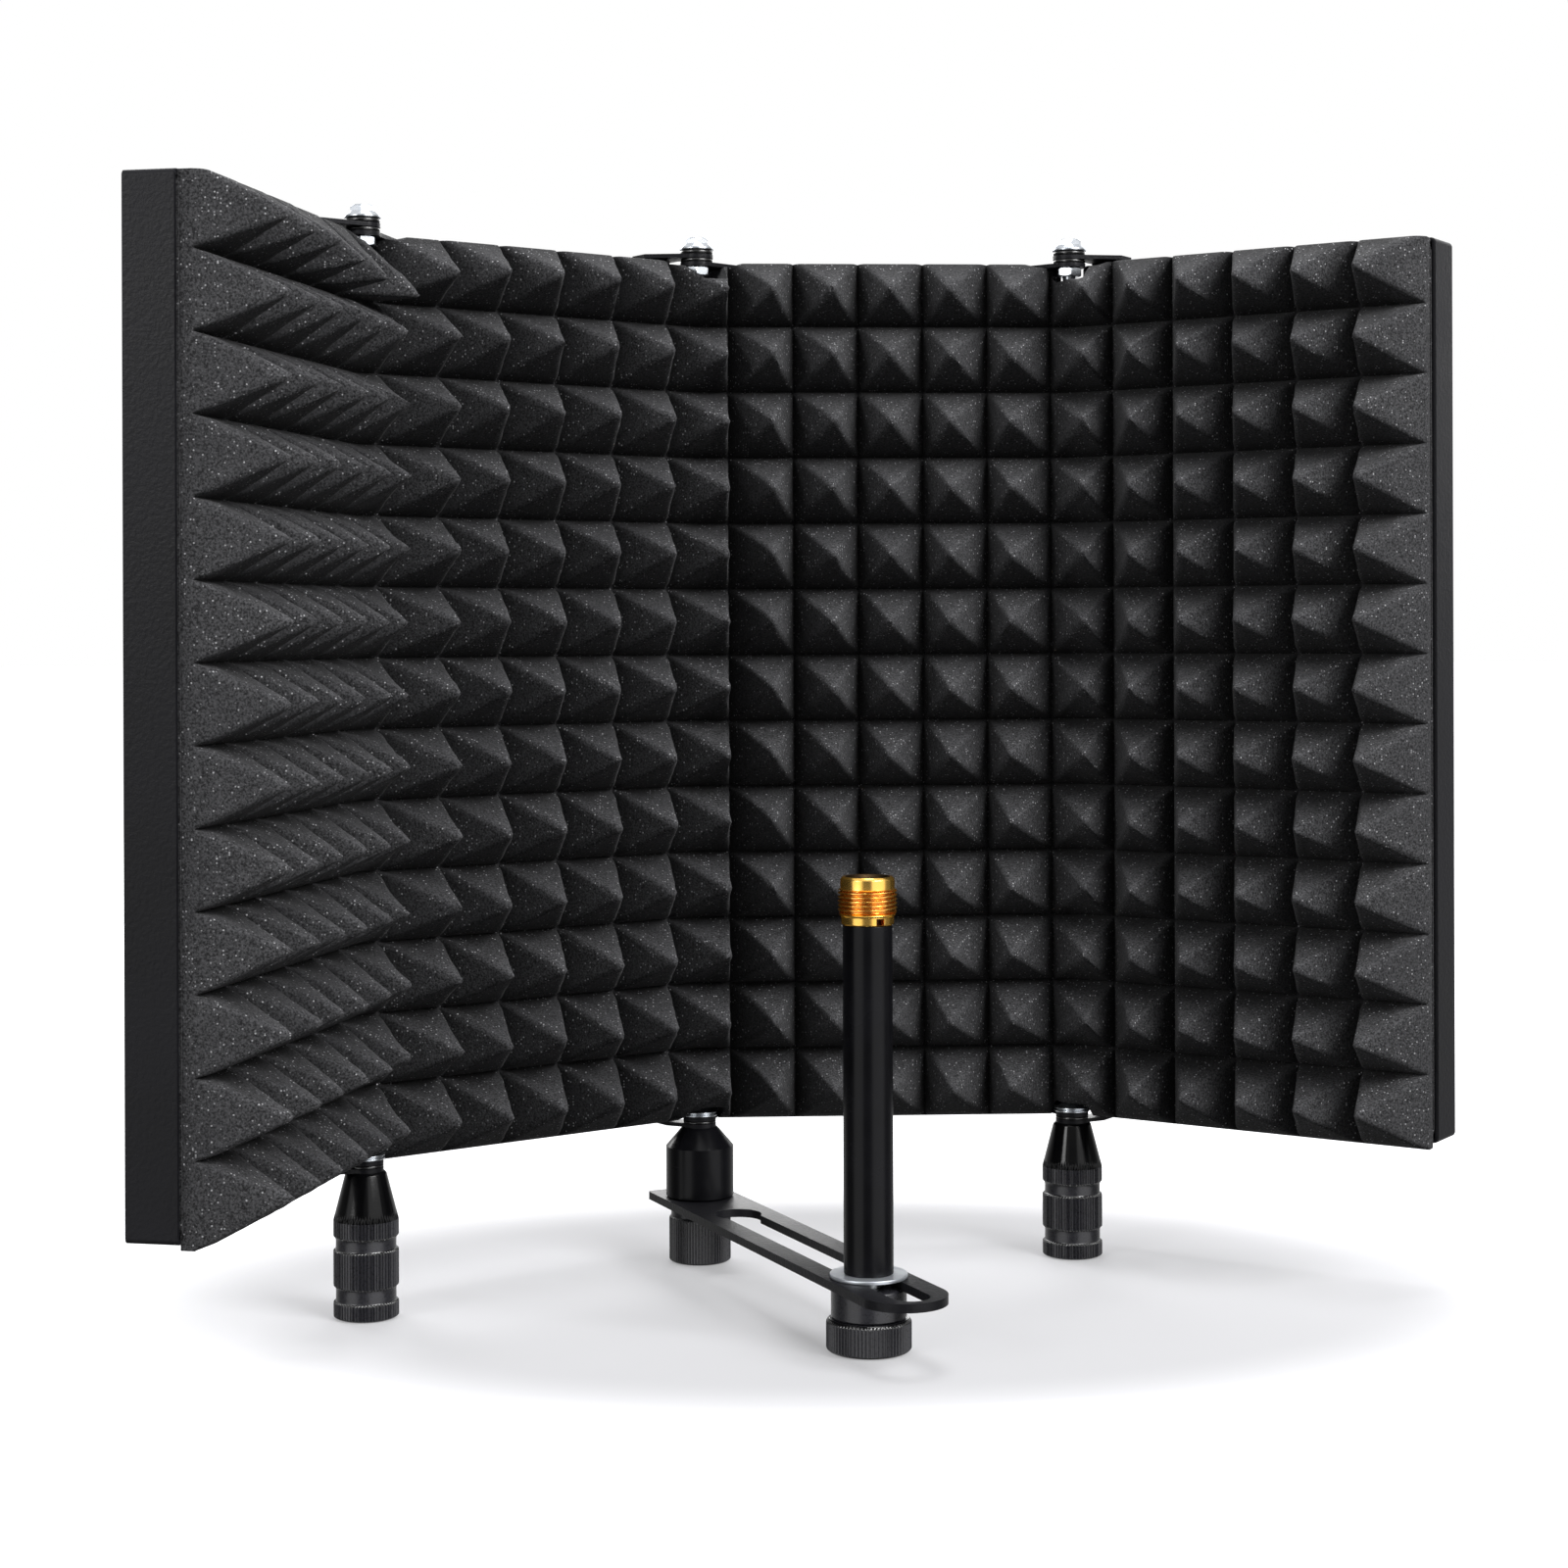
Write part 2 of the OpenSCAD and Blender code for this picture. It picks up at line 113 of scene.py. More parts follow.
class Nodes:
    """A material's node tree, with short calls for the nodes used here."""

    def __init__(self, name, **sockets):
        self.material = bpy.data.materials.new(name)
        self.material.use_nodes = True
        self.tree = self.material.node_tree
        self.shader = self.tree.nodes["Principled BSDF"]
        for socket, value in sockets.items():
            self.shader.inputs[socket.replace("_", " ")].default_value = value
        self.place = self.new("ShaderNodeTexCoord").outputs["Object"]

    def new(self, kind, **inputs):
        node = self.tree.nodes.new(kind)
        for name, value in inputs.items():
            self.put(node, name.replace("_", " "), value)
        return node

    def put(self, node, name, value):
        """Links or sets one input, by its name, or by its number after an i."""
        numbered = name[0] == "i" and name[1:].isdigit()
        socket = node.inputs[int(name[1:]) if numbered else name]
        if isinstance(value, bpy.types.NodeSocket):
            self.tree.links.new(value, socket)
        else:
            socket.default_value = value

    def noise(self, scale, detail=2.0, rough=0.5, stretch=None):
        place = self.place
        if stretch:
            place = self.new("ShaderNodeMapping", Vector=place, Scale=stretch).outputs[0]
        return self.new("ShaderNodeTexNoise", Vector=place, Scale=scale, Detail=detail,
                        Roughness=rough).outputs["Fac"]

    def cells(self, scale):
        """Round cells: the distance from each one's middle, and its random colour."""
        node = self.new("ShaderNodeTexVoronoi", Vector=self.place, Scale=scale)
        return node.outputs["Distance"], node.outputs["Color"]

    def math(self, operation, *values):
        node = self.tree.nodes.new("ShaderNodeMath")
        node.operation = operation
        for i, value in enumerate(values):
            self.put(node, f"i{i}", value)
        return node.outputs[0]

    def ramp(self, value, low, high, to_low=0.0, to_high=1.0):
        """Turns the range from low to high into the range from to_low to to_high."""
        node = self.new("ShaderNodeMapRange", Value=value)
        for name, x in zip(RAMP_SOCKETS, (low, high, to_low, to_high)):
            node.inputs[name].default_value = x
        return node.outputs[0]

    def mix(self, share, a, b):
        node = self.tree.nodes.new("ShaderNodeMix")
        node.data_type = "RGBA"
        for i, value in ((0, share), (6, a), (7, b)):
            if isinstance(value, bpy.types.NodeSocket):
                self.tree.links.new(value, node.inputs[i])
            else:
                node.inputs[i].default_value = value
        return node.outputs[2]

    def bump(self, height, distance, strength=1.0, under=None):
        node = self.new("ShaderNodeBump", Height=height, Distance=distance, Strength=strength)
        if under is not None:
            self.tree.links.new(under, node.inputs["Normal"])
        return node.outputs[0]

    def set(self, **values):
        for name, value in values.items():
            self.put(self.shader, name.replace("_", " "), value)
        return self.material


def grey(value, tint=0.0):
    """A grey, a little blue by tint."""
    return (value, value, value * (1 + tint), 1)


def make_foam():
    """Charcoal acoustic foam: open pores, bright flecks painted as glints off cut cell walls,
    painted shade in the valleys and painted light on the tips.
    """
    m = Nodes("foam", Specular_IOR_Level=0.2, Sheen_Weight=0.05, Sheen_Roughness=0.5)
    pores = m.noise(1750, 2, 0.6)
    patches = m.noise(45, 3, 0.6)
    distance, cell = m.cells(1350)
    pick = m.new("ShaderNodeSeparateColor", Color=cell).outputs[0]
    # Painted glints: small bright specks that stand for light caught on cut cell walls, also a
    # little glossier.
    painted_glint = m.math("MULTIPLY", m.ramp(distance, 0.40, 0.16), m.ramp(pick, 0.84, 0.96))
    height = m.new("ShaderNodeAttribute")
    height.attribute_name = "height"
    # Painted shade and light: the colour darkens towards the valleys and lightens towards the tips,
    # by the height attribute.
    tone = m.ramp(height.outputs["Fac"], 0.0, FOAM_BODY_HEIGHT, 0.30, 1.0)
    tone = m.math("ADD", tone, m.ramp(height.outputs["Fac"], FOAM_BODY_HEIGHT, 1.0, 0.0, 0.45))
    light = m.mix(m.ramp(tone, 0.0, 2.0), grey(0.0), grey(0.24, 0.05))
    dark = m.mix(m.ramp(tone, 0.0, 2.0), grey(0.002), grey(0.036, 0.05))
    base = m.mix(m.ramp(pores, 0.35, 0.66), dark, light)
    base = m.mix(m.ramp(patches, 0.35, 0.7, 0.0, 0.3), base, grey(0.034, 0.12))
    base = m.mix(painted_glint, base, grey(0.62, 0.04))
    rough = m.ramp(painted_glint, 0.0, 1.0, 0.95, 0.5)
    return m.set(Base_Color=base, Roughness=rough, Normal=m.bump(pores, 0.0002, 0.8))


def make_powder_coat():
    """Satin black powder coat with its fine orange peel."""
    m = Nodes("powder_coat", Specular_IOR_Level=0.16)
    peel = m.noise(900, 2, 0.55)
    cloud = m.noise(25, 3, 0.6)
    base = m.mix(m.ramp(cloud, 0.3, 0.7), grey(0.009, 0.18), grey(0.014, 0.22))
    rough = m.ramp(cloud, 0.3, 0.7, 0.38, 0.46)
    return m.set(Base_Color=base, Roughness=rough, Normal=m.bump(peel, 0.00025, 0.5))


def make_gloss_black():
    """Black anodised aluminium with turning marks."""
    m = Nodes("gloss_black", Specular_IOR_Level=0.22)
    turning = m.noise(90, 3, 0.6, stretch=(1, 1, 60))
    smudge = m.noise(70, 4, 0.6)
    base = m.mix(m.ramp(smudge, 0.3, 0.7), grey(0.003, 0.1), grey(0.006, 0.15))
    rough = m.ramp(smudge, 0.3, 0.75, 0.10, 0.17)
    return m.set(Base_Color=base, Roughness=rough, Normal=m.bump(turning, 0.00004, 0.35))


def make_satin_black():
    """Satin black anodising of the post's tube and the stand adapter."""
    m = Nodes("satin_black", Specular_IOR_Level=0.15)
    turning = m.noise(90, 3, 0.6, stretch=(1, 1, 60))
    smudge = m.noise(70, 4, 0.6)
    base = m.mix(m.ramp(smudge, 0.3, 0.7), grey(0.005, 0.2), grey(0.009, 0.25))
    rough = m.ramp(smudge, 0.3, 0.75, 0.22, 0.3)
    return m.set(Base_Color=base, Roughness=rough, Normal=m.bump(turning, 0.00004, 0.35))


def make_edge_black():
    """The bright turned chamfers between the knurled bands."""
    m = Nodes("edge_black", Specular_IOR_Level=1.0)
    grain = m.noise(900, 2, 0.6)
    base = m.mix(m.ramp(grain, 0.3, 0.7), grey(0.006, 0.1), grey(0.012, 0.12))
    rough = m.ramp(grain, 0.3, 0.7, 0.12, 0.2)
    return m.set(Base_Color=base, Roughness=rough, Normal=m.bump(grain, 0.00003, 0.3))


def make_grip_black():
    """The knurled and grooved bands: the same anodising, more matt."""
    m = Nodes("grip_black", Specular_IOR_Level=0.55)
    grain = m.noise(1600, 2, 0.6)
    base = m.mix(m.ramp(grain, 0.3, 0.7), grey(0.022, 0.2), grey(0.038, 0.22))
    rough = m.ramp(grain, 0.3, 0.7, 0.24, 0.36)
    return m.set(Base_Color=base, Roughness=rough, Normal=m.bump(grain, 0.0001, 0.4))


NOTCH_SHADE = (0.02, 0.008, 0.003, 1)     # painted shade inside the thread adapter's notch


def make_metal(name, colour, dark, rough_low, rough_high, metallic=1.0, groove=None,
               tint=(1, 1, 1, 1)):
    """Plated metal with faint scratches and cloudy gloss, and painted shade down in grooves."""
    m = Nodes(name, Metallic=metallic, Specular_Tint=tint)
    scratches = m.noise(260, 4, 0.7, stretch=(1, 0.12, 2.5))
    cloud = m.noise(160, 3, 0.6)
    base = m.mix(m.ramp(cloud, 0.35, 0.7), colour, dark)
    # Painted shade: the groove attribute darkens the colour to the groove colour, and deepest to
    # the notch's shade colour.
    if groove is not None:
        depth = m.new("ShaderNodeAttribute")
        depth.attribute_name = "groove"
        base = m.mix(m.ramp(depth.outputs["Fac"], 0.1, 0.6), base, groove)
        base = m.mix(m.ramp(depth.outputs["Fac"], 0.7, 1.0), base, NOTCH_SHADE)
    rough = m.ramp(cloud, 0.3, 0.7, rough_low, rough_high)
    return m.set(Base_Color=base, Roughness=rough, Normal=m.bump(scratches, 0.00003, 0.25))


def make_rubber():
    """Glossy black rubber of the hinge rings."""
    m = Nodes("rubber", Specular_IOR_Level=0.8)
    grain = m.noise(700, 3, 0.6)
    base = m.mix(grain, grey(0.008), grey(0.016))
    return m.set(Base_Color=base, Roughness=m.ramp(grain, 0.3, 0.7, 0.14, 0.24),
                 Normal=m.bump(grain, 0.00008, 0.3))


FOAM = make_foam()
POWDER = make_powder_coat()
GLOSS = make_gloss_black()
SATIN = make_satin_black()
GRIP = make_grip_black()
EDGE = make_edge_black()
ZINC = make_metal("zinc", (0.64, 0.67, 0.70, 1), (0.50, 0.53, 0.58, 1), 0.18, 0.28, 0.95)
WASHER_ZINC = make_metal("washer_zinc", (0.70, 0.75, 0.78, 1), (0.60, 0.62, 0.70, 1),
                         0.28, 0.4, 0.7)
# The gold's groove colour is painted shade at the roots of the thread.
GOLD = make_metal("gold", (1.0, 0.63, 0.16, 1), (0.98, 0.55, 0.10, 1), 0.16, 0.26, 0.93,
                  groove=(0.72, 0.30, 0.05, 1), tint=(1.0, 0.45, 0.12, 1))
RUBBER = make_rubber()
# Painted shade: near-black metal for the gold adapter's bore, which lies in shade.
BORE_SHADE = make_metal("bore", (0.05, 0.03, 0.012, 1), (0.025, 0.015, 0.008, 1), 0.35, 0.5)


# ---------------------------------------------------------------- mesh helpers
SAME_POINT, NO_AREA = 2e-7, 1e-8          # in m: points closer than this are one point
NEAR = 1e-6                               # slack in mm when heights and radii are compared


def mesh_object(name, verts, faces, materials, face_material=None, sharp=38):
    """A smooth-shaded mesh object whose edges over sharp degrees stay crisp."""
    mesh = bpy.data.meshes.new(name)
    mesh.from_pydata(np.asarray(verts).tolist(), [], faces)
    for material in materials:
        mesh.materials.append(material)
    if face_material is not None:
        mesh.polygons.foreach_set("material_index", np.asarray(face_material, np.int32))
    bm = bmesh.new()
    bm.from_mesh(mesh)
    bmesh.ops.remove_doubles(bm, verts=bm.verts, dist=SAME_POINT)
    bmesh.ops.dissolve_degenerate(bm, dist=NO_AREA, edges=bm.edges)
    bmesh.ops.recalc_face_normals(bm, faces=bm.faces)
    bm.to_mesh(mesh)
    bm.free()
    mesh.polygons.foreach_set("use_smooth", np.ones(len(mesh.polygons), bool))
    mesh.set_sharp_from_angle(angle=math.radians(sharp))
    mesh.update()
    obj = bpy.data.objects.new(name, mesh)
    bpy.context.scene.collection.objects.link(obj)
    return obj


def rounded(profile, radius, steps=3):
    """A closed outline of (r, z) with its corners rounded, where there is room."""
    points, n = [], len(profile)
    for i, (r, _) in enumerate(profile):
        p, a, b = (np.array(profile[k % n][:2], float) for k in (i, i - 1, i + 1))
        to_a, to_b = a - p, b - p
        la, lb = np.linalg.norm(to_a), np.linalg.norm(to_b)
        cut = min(radius, 0.42 * la, 0.42 * lb)
        if cut < 0.01 or r < 0.01:
            points.append((p[0], p[1]))
            continue
        start, end = p + to_a / la * cut, p + to_b / lb * cut
        for k in range(steps + 1):
            t = k / steps
            q = (1 - t) ** 2 * start + 2 * t * (1 - t) * p + t * t * end
            points.append((q[0], q[1]))
    return points


def split_spans(profile, spans, step):
    """Adds points to an outline wherever it runs through one of the height spans."""
    out, n = [], len(profile)
    for i in range(n):
        (r0, z0), (r1, z1) = profile[i], profile[(i + 1) % n]
        out.append((r0, z0))
        inside = any(lo - NEAR <= min(z0, z1) and max(z0, z1) <= hi + NEAR for lo, hi in spans)
        length = math.hypot(r1 - r0, z1 - z0)
        if inside and abs(z1 - z0) > 0.5 * length and r0 > 0:
            count = max(1, int(math.ceil(length / step)))
            out += [(r0 + (r1 - r0) * k / count, z0 + (z1 - z0) * k / count)
                    for k in range(1, count)]
    return out


def revolve(name, profile, at, segments, materials, shape=None, zone=None, sharp=38):
    """Turns a closed outline of (r, z) in mm about the vertical through at.

    shape(r, z, angle) gives the radius there; zone(r, z) the face's material.
    """
    profile = [(r, z) for i, (r, z) in enumerate(profile)
               if math.hypot(r - profile[i - 1][0], z - profile[i - 1][1]) > 1e-5]
    outline = np.array(profile)
    angles = np.arange(segments) * 2 * math.pi / segments
    r = np.repeat(outline[:, :1], segments, 1)
    z = np.repeat(outline[:, 1:], segments, 1)
    a = np.repeat(angles[None, :], len(outline), 0)
    if shape is not None:
        r = shape(r, z, a)
    verts = np.stack([at[0] + r * MM * np.cos(a), at[1] + r * MM * np.sin(a), z * MM], -1)
    n, faces, kinds = len(outline), [], []
    for i in range(n):
        j = (i + 1) % n
        if outline[i, 0] < NEAR and outline[j, 0] < NEAR:
            continue
        middle = (outline[i] + outline[j]) / 2
        kind = zone(middle[0], middle[1]) if zone else 0
        for k in range(segments):
            m = (k + 1) % segments
            faces.append((i * segments + k, i * segments + m, j * segments + m, j * segments + k))
            kinds.append(kind)
    return mesh_object(name, verts.reshape(-1, 3), faces, materials, kinds, sharp)


def knurl(zones, teeth, depth):
    """Straight knurling: V grooves of even depth, which run out on cones and chamfers."""
    def shape(r, z, angle):
        wave = np.abs(((angle * teeth / (2 * math.pi)) % 1.0) * 2 - 1)
        cut = depth * np.clip(1.25 * wave, 0, 1)
        for lo, hi, outer in zones:
            inside = (z >= lo - NEAR) & (z <= hi + NEAR) & (r > outer - 1.0)
            r = np.where(inside, np.minimum(r, outer - cut), r)
        return r
    return shape


def thread(lo, hi, r_out, depth, pitch, lead_in=0.8):
    """A helical thread on the outside, for the outline's points near radius r_out."""
    def shape(r, z, angle):
        turn = (z / pitch - angle / (2 * math.pi)) % 1.0
        ridge = np.clip(0.5 + 0.72 * np.cos(2 * math.pi * turn), 0, 1)
        fade = np.clip(np.minimum(z - lo, hi - z) / lead_in, 0, 1)
        near = (z >= lo) & (z <= hi) & (r > r_out - 0.05)
        return np.where(near, r - depth * (1 - ridge * fade), r)
    return shape


def hexagon(across, z_from, z_to):
    """Cuts the outline down to a hexagon between two heights."""
    def shape(r, z, angle):
        turn = (angle + math.pi / 6) % (math.pi / 3) - math.pi / 6
        flat = across / 2 / np.cos(turn)
        return np.where((z >= z_from) & (z <= z_to), np.minimum(r, flat), r)
    return shape


def centre_of(node):
    """The middle of a CAD node's box, in metres."""
    lo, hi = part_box(node)
    return (lo + hi) / 2


def span(node):
    """A round CAD node's lowest and highest point and its radius, in mm."""
    lo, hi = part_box(node)
    return lo.z / MM, hi.z / MM, (hi.x - lo.x) / 2 / MM


def body_of(node):
    """The body a CAD node belongs to."""
    return NODES[node]["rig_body"]


def take(obj, body, slot, *nodes):
    """obj rides on a body and stands for CAD nodes, which it hides; the slot is not used."""
    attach(obj, body)
    if nodes:
        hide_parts(*nodes)
    return obj


# ---------------------------------------------------------------- steel and simple CAD pieces
WELD_DISTANCE = 2e-6


def soften(node, material, bevel_mm, segments=2, angle=35):
    """A CAD node keeps its mesh, and gets a material and broken edges."""
    obj = NODES[node]
    obj.data.materials.clear()
    obj.data.materials.append(material)
    weld = obj.modifiers.new("weld", "WELD")
    weld.merge_threshold = WELD_DISTANCE
    bevel = obj.modifiers.new("bevel", "BEVEL")
    bevel.width = bevel_mm * MM
    bevel.segments = segments
    bevel.limit_method = "ANGLE"
    bevel.angle_limit = math.radians(angle)
    obj.modifiers.new("flat_faces", "WEIGHTED_NORMAL")
    obj.data.polygons.foreach_set("use_smooth", np.ones(len(obj.data.polygons), bool))
    return obj


for panel in ("left_wing", "left_centre", "right_centre", "right_wing"):
    soften(f"{panel}_tray", POWDER, 0.28)
soften("arm_plate", POWDER, 0.35)
soften("post_washer", WASHER_ZINC, 0.18)
soften("post_stud", ZINC, 0.2)
soften("post_tube", SATIN, 0.3)
soften("post_bushing", GRIP, 0.2)
soften("stand_adapter_body", SATIN, 0.2)


# ---------------------------------------------------------------- turned parts
FOOT_TEETH, FOOT_KNURL = 60, 0.55          # grooves round the knurls, and their depth in mm
FOOT_SOCKET_R, FOOT_SOCKET_Z = 2.1, 27.5   # the hole for the hinge bolt
FOOT_CONE_Z, FOOT_CONE_R, FOOT_RUNOUT_Z = 27.2, 5.8, 33.0
FOOT_CHAMFERS = ((4.15, 4.95), (8.6, 9.0), (18.75, 19.5), (22.55, 23.0))


def foot(name, node):
    """A turned foot: knurled ring, groove, knurled grip, groove, knurled band and cone."""
    _, top, r = span(node)
    top_r, neck = FOOT_CONE_R, r - 0.75
    runout_r = r + (top_r - r) * (FOOT_RUNOUT_Z - FOOT_CONE_Z) / (top - 0.5 - FOOT_CONE_Z)
    outline = [
        (0, 0), (r - 0.7, 0), (r, 0.5), (r, 4.3),                           # ring
        (r - 0.75, 4.95), (neck, 5.6), (neck, 7.9), (r - 0.6, 8.6),         # groove
        (r, 9.1), (r, 18.8),                                                # grip
        (r - 0.7, 19.4), (neck, 20.0), (neck, 21.9), (r - 0.5, 22.6),       # groove
        (r, 23.1), (r, FOOT_CONE_Z), (runout_r, FOOT_RUNOUT_Z),             # band, onto the cone
        (top_r, top - 0.5), (top_r - 0.5, top),
        (FOOT_SOCKET_R, top), (FOOT_SOCKET_R, FOOT_SOCKET_Z), (0, FOOT_SOCKET_Z),
    ]
    outline = rounded(outline, 0.22)
    outline = split_spans(outline, [(0.3, 4.9), (8.7, 19.2), (22.8, FOOT_RUNOUT_Z)], 0.6)
    shape = knurl([(0.45, 5.0, r), (8.7, 19.35, r), (22.7, FOOT_RUNOUT_Z, r)],
                  FOOT_TEETH, FOOT_KNURL)

    def zone(q, z):
        if q < 3 or z > 27.4:
            return 0
        return 2 if any(lo < z < hi for lo, hi in FOOT_CHAMFERS) else 1
    return revolve(name, outline, centre_of(node), 384, [GLOSS, GRIP, EDGE], shape, zone)


take(foot("left_foot_turned", "left_foot"), "left_foot", "gloss_black", "left_foot")
take(foot("right_foot_turned", "right_foot"), "right_foot", "gloss_black", "right_foot")


STAND_TEETH, STAND_KNURL = 68, 0.28
STAND_TOOTH, STAND_RUN = 0.28, 0.6         # depth of the inner thread, and its run in and out


def stand_nut():
    """The stand adapter's nut: knurled outside, with the stand's thread inside."""
    node = "stand_adapter_nut"
    _, top, r = span(node)
    bore, way, depth, neck = STAND_THREAD_R, STUD_BORE_R, STAND_THREAD_L, r - 0.6
    outline = [
        (bore + 0.5, 0), (r - 0.6, 0), (r, 0.5), (r, 13.2), (r - 0.5, 13.8), (neck, 14.3),
        (neck, top - 0.4), (neck - 0.4, top), (way, top), (way, depth), (bore, depth), (bore, 0.5),
    ]
    outline = rounded(outline, 0.25)
    outline = split_spans(outline, [(0.4, 13.4)], 0.5)
    cuts = knurl([(0.5, 13.7, r)], STAND_TEETH, STAND_KNURL)

    def shape(q, z, a):
        turn = (z / STAND_PITCH - a / (2 * math.pi)) % 1.0
        tooth = STAND_TOOTH * (1 - np.abs(turn * 2 - 1))
        tooth = tooth * np.clip((z - STAND_RUN) / STAND_RUN, 0, 1)
        tooth = tooth * np.clip((10.6 - z) / STAND_RUN, 0, 1)
        return np.where(np.abs(q - bore) < 0.02, q + tooth, cuts(q, z, a))
    outline = split_spans(outline, [(0.4, STAND_THREAD_L)], 0.12)
    return revolve("stand_nut_turned", outline, centre_of(node), 408, [GRIP], shape)


take(stand_nut(), "stand_adapter_nut", "gloss_black", "stand_adapter_nut")


POST_TEETH, POST_KNURL = 72, 0.32


def post_nut():
    """The nut at the foot of the post: knurled, with a bright chamfer on top."""
    _, top, r = span("post_nut")
    outline = [
        (0, 0.6), (5.5, 0.6), (6.0, 0), (r - 0.8, 0), (r, 0.7), (r, top - 0.9), (r - 0.75, top),
        (STUD_BORE_R, top), (STUD_BORE_R, 1.2), (0, 1.2),
    ]
    outline = split_spans(rounded(outline, 0.25), [(0.5, top - 0.5)], 0.5)
    zone = lambda q, z: 0 if z > top - 0.85 and q > 8 else 1
    return revolve("post_nut_turned", outline, centre_of("post_nut"), 432, [EDGE, GRIP],
                   knurl([(0.3, top - 0.2, r)], POST_TEETH, POST_KNURL), zone)


take(post_nut(), "post_nut", "gloss_black", "post_nut")


NOTCH_ANGLE, NOTCH_HALF, NOTCH_DEPTH = math.radians(-65), math.radians(8.5), 1.6
RIDGE_DEPTH, RIDGE_PITCH, RIDGE_LEAD_IN = 0.6, 1.13, 0.35
THREAD_SHADE = 0.6                         # the groove attribute at the bottom of the thread


def thread_adapter():
    """Gold adapter: collar with a small notch, outer thread, collar, and a bore."""
    node = "thread_adapter"
    z, top, _ = span(node)
    at, r, low_r, top_r, bore, low_bore = (centre_of(node), MIC_THREAD_R, 7.1, 7.3, INNER_THREAD_R,
                                           STUD_BORE_R)
    thread_low, thread_high, bore_step = z + 3.3, z + 9.4, z + 4.95
    outline = [
        (low_bore, z), (low_r - 0.3, z), (low_r, z + 0.3), (low_r, z + 2.2),
        (low_r + 0.5, z + 2.7), (low_r + 0.15, z + 3.1), (r, thread_low), (r, thread_high),
        (top_r, z + 9.6), (top_r, top - 0.7), (top_r - 0.6, top), (top_r - 1.3, top),
        (bore, top - 1.7), (bore, bore_step), (low_bore, bore_step),
    ]
    outline = rounded(outline, 0.15, 2)
    outline = split_spans(outline, [(z + 3.28, z + 9.45)], 0.09)
    outline = split_spans(outline, [(z + 0.2, z + 2.3)], 0.15)
    ridges = thread(thread_low, thread_high, r, RIDGE_DEPTH, RIDGE_PITCH, RIDGE_LEAD_IN)

    def outer(q, h, a):
        """The thread, and the small square notch low in the collar, towards the right."""
        q = ridges(q, h, a)
        aside = (a - NOTCH_ANGLE + math.pi) % (2 * math.pi) - math.pi
        inside = (np.abs(aside) < NOTCH_HALF) & (h > z + 0.25) & (h < z + 1.95) & (q > low_r - 0.5)
        return np.where(inside, low_r - NOTCH_DEPTH, q)
    # The bore's inner faces take the near-black painted shade.
    zone = lambda q, h: 1 if q < top_r - 1.2 and h > z + 1 else 0
    obj = revolve("thread_adapter_turned", outline, at, 240, [GOLD, BORE_SHADE], outer, zone, sharp=40)
    # How deep each point is in a groove, which sets the gold's painted shade; the notch's floor
    # gets the darkest.
    place = np.empty(3 * len(obj.data.vertices), np.float32)
    obj.data.vertices.foreach_get("co", place)
    place = place.reshape(-1, 3) / MM
    radius = np.hypot(place[:, 0] - at[0] / MM, place[:, 1] - at[1] / MM)
    threaded = (place[:, 2] > z + 3.2) & (place[:, 2] < z + 9.5)
    notched = (place[:, 2] < z + 2.0) & (radius < low_r - 1.5)
    depth = np.clip((r - radius) / RIDGE_DEPTH, 0, 1) * THREAD_SHADE
    groove = np.where(threaded, depth, np.where(notched, 1.0, 0.0))
    attribute = obj.data.attributes.new("groove", "FLOAT", "POINT")
    attribute.data.foreach_set("value", groove.astype(np.float32))
    return obj


take(thread_adapter(), "thread_adapter", "gold", "thread_adapter")


# ---------------------------------------------------------------- hinge hardware
TOP_HEX, NUT_HEX = 6.6, 7.0                # across the flats, in mm
HARDWARE_SEGMENTS = 96


def top_bolt(side):
    """A flanged hex bolt, with its threaded end under the nut."""
    node = f"{side}_top_bolt"
    low, top, _ = span(node)
    flange = span(f"{side}_top_rings")[1] + 0.02
    corner, rim = 3.8, 5.3
    outline = [
        (0, low), (1.5, low), (BOLT_R, low + 0.4), (BOLT_R, flange),
        (rim - 0.2, flange), (rim, flange + 0.2), (rim - 0.15, flange + 0.8),
        (corner + 0.1, flange + 1.9), (corner, flange + 2.0), (corner, top - 0.9),
        (3.0, top - 0.1), (2.4, top), (0, top),
    ]
    outline = split_spans(rounded(outline, 0.15, 2), [(flange + 1.9, top), (low, low + 3)], 0.2)
    bolt = revolve(f"{side}_hex_bolt", outline, centre_of(node), HARDWARE_SEGMENTS, [ZINC],
                   hexagon(TOP_HEX, flange + 1.95, top + 1))
    return take(bolt, body_of(node), "zinc", node)


def top_nut(side):
    """The hex nut under the top ears."""
    node = f"{side}_top_nut"
    low, top, _ = span(node)
    bore, chamfer, corner = NUT_BORE_R, 3.35, 4.0
    outline = [(bore, low), (chamfer, low), (corner, low + 0.4), (corner, top - 0.4),
               (chamfer, top), (bore, top)]
    outline = split_spans(rounded(outline, 0.12, 2), [(low, top)], 0.25)
    nut = revolve(f"{side}_hex_nut", outline, centre_of(node), HARDWARE_SEGMENTS, [ZINC],
                  hexagon(NUT_HEX, low - 1, top + 1))
    return take(nut, body_of(node), "zinc", node)


def ring(name, node, low, top, r):
    """A flat rubber ring with a full round edge."""
    half = (top - low) / 2
    edge = [(r - half * 0.9 * (1 - math.cos(t)), (low + top) / 2 + half * math.sin(t))
            for t in np.linspace(-math.pi / 2, math.pi / 2, 9)]
    outline = [(RING_BORE_R, low), *edge, (RING_BORE_R, top)]
    obj = revolve(name, outline, centre_of(node), HARDWARE_SEGMENTS, [RUBBER])
    return take(obj, body_of(node), "rubber", node)


EAR_RING_H, SEAT_RING_H = 1.15, 1.36


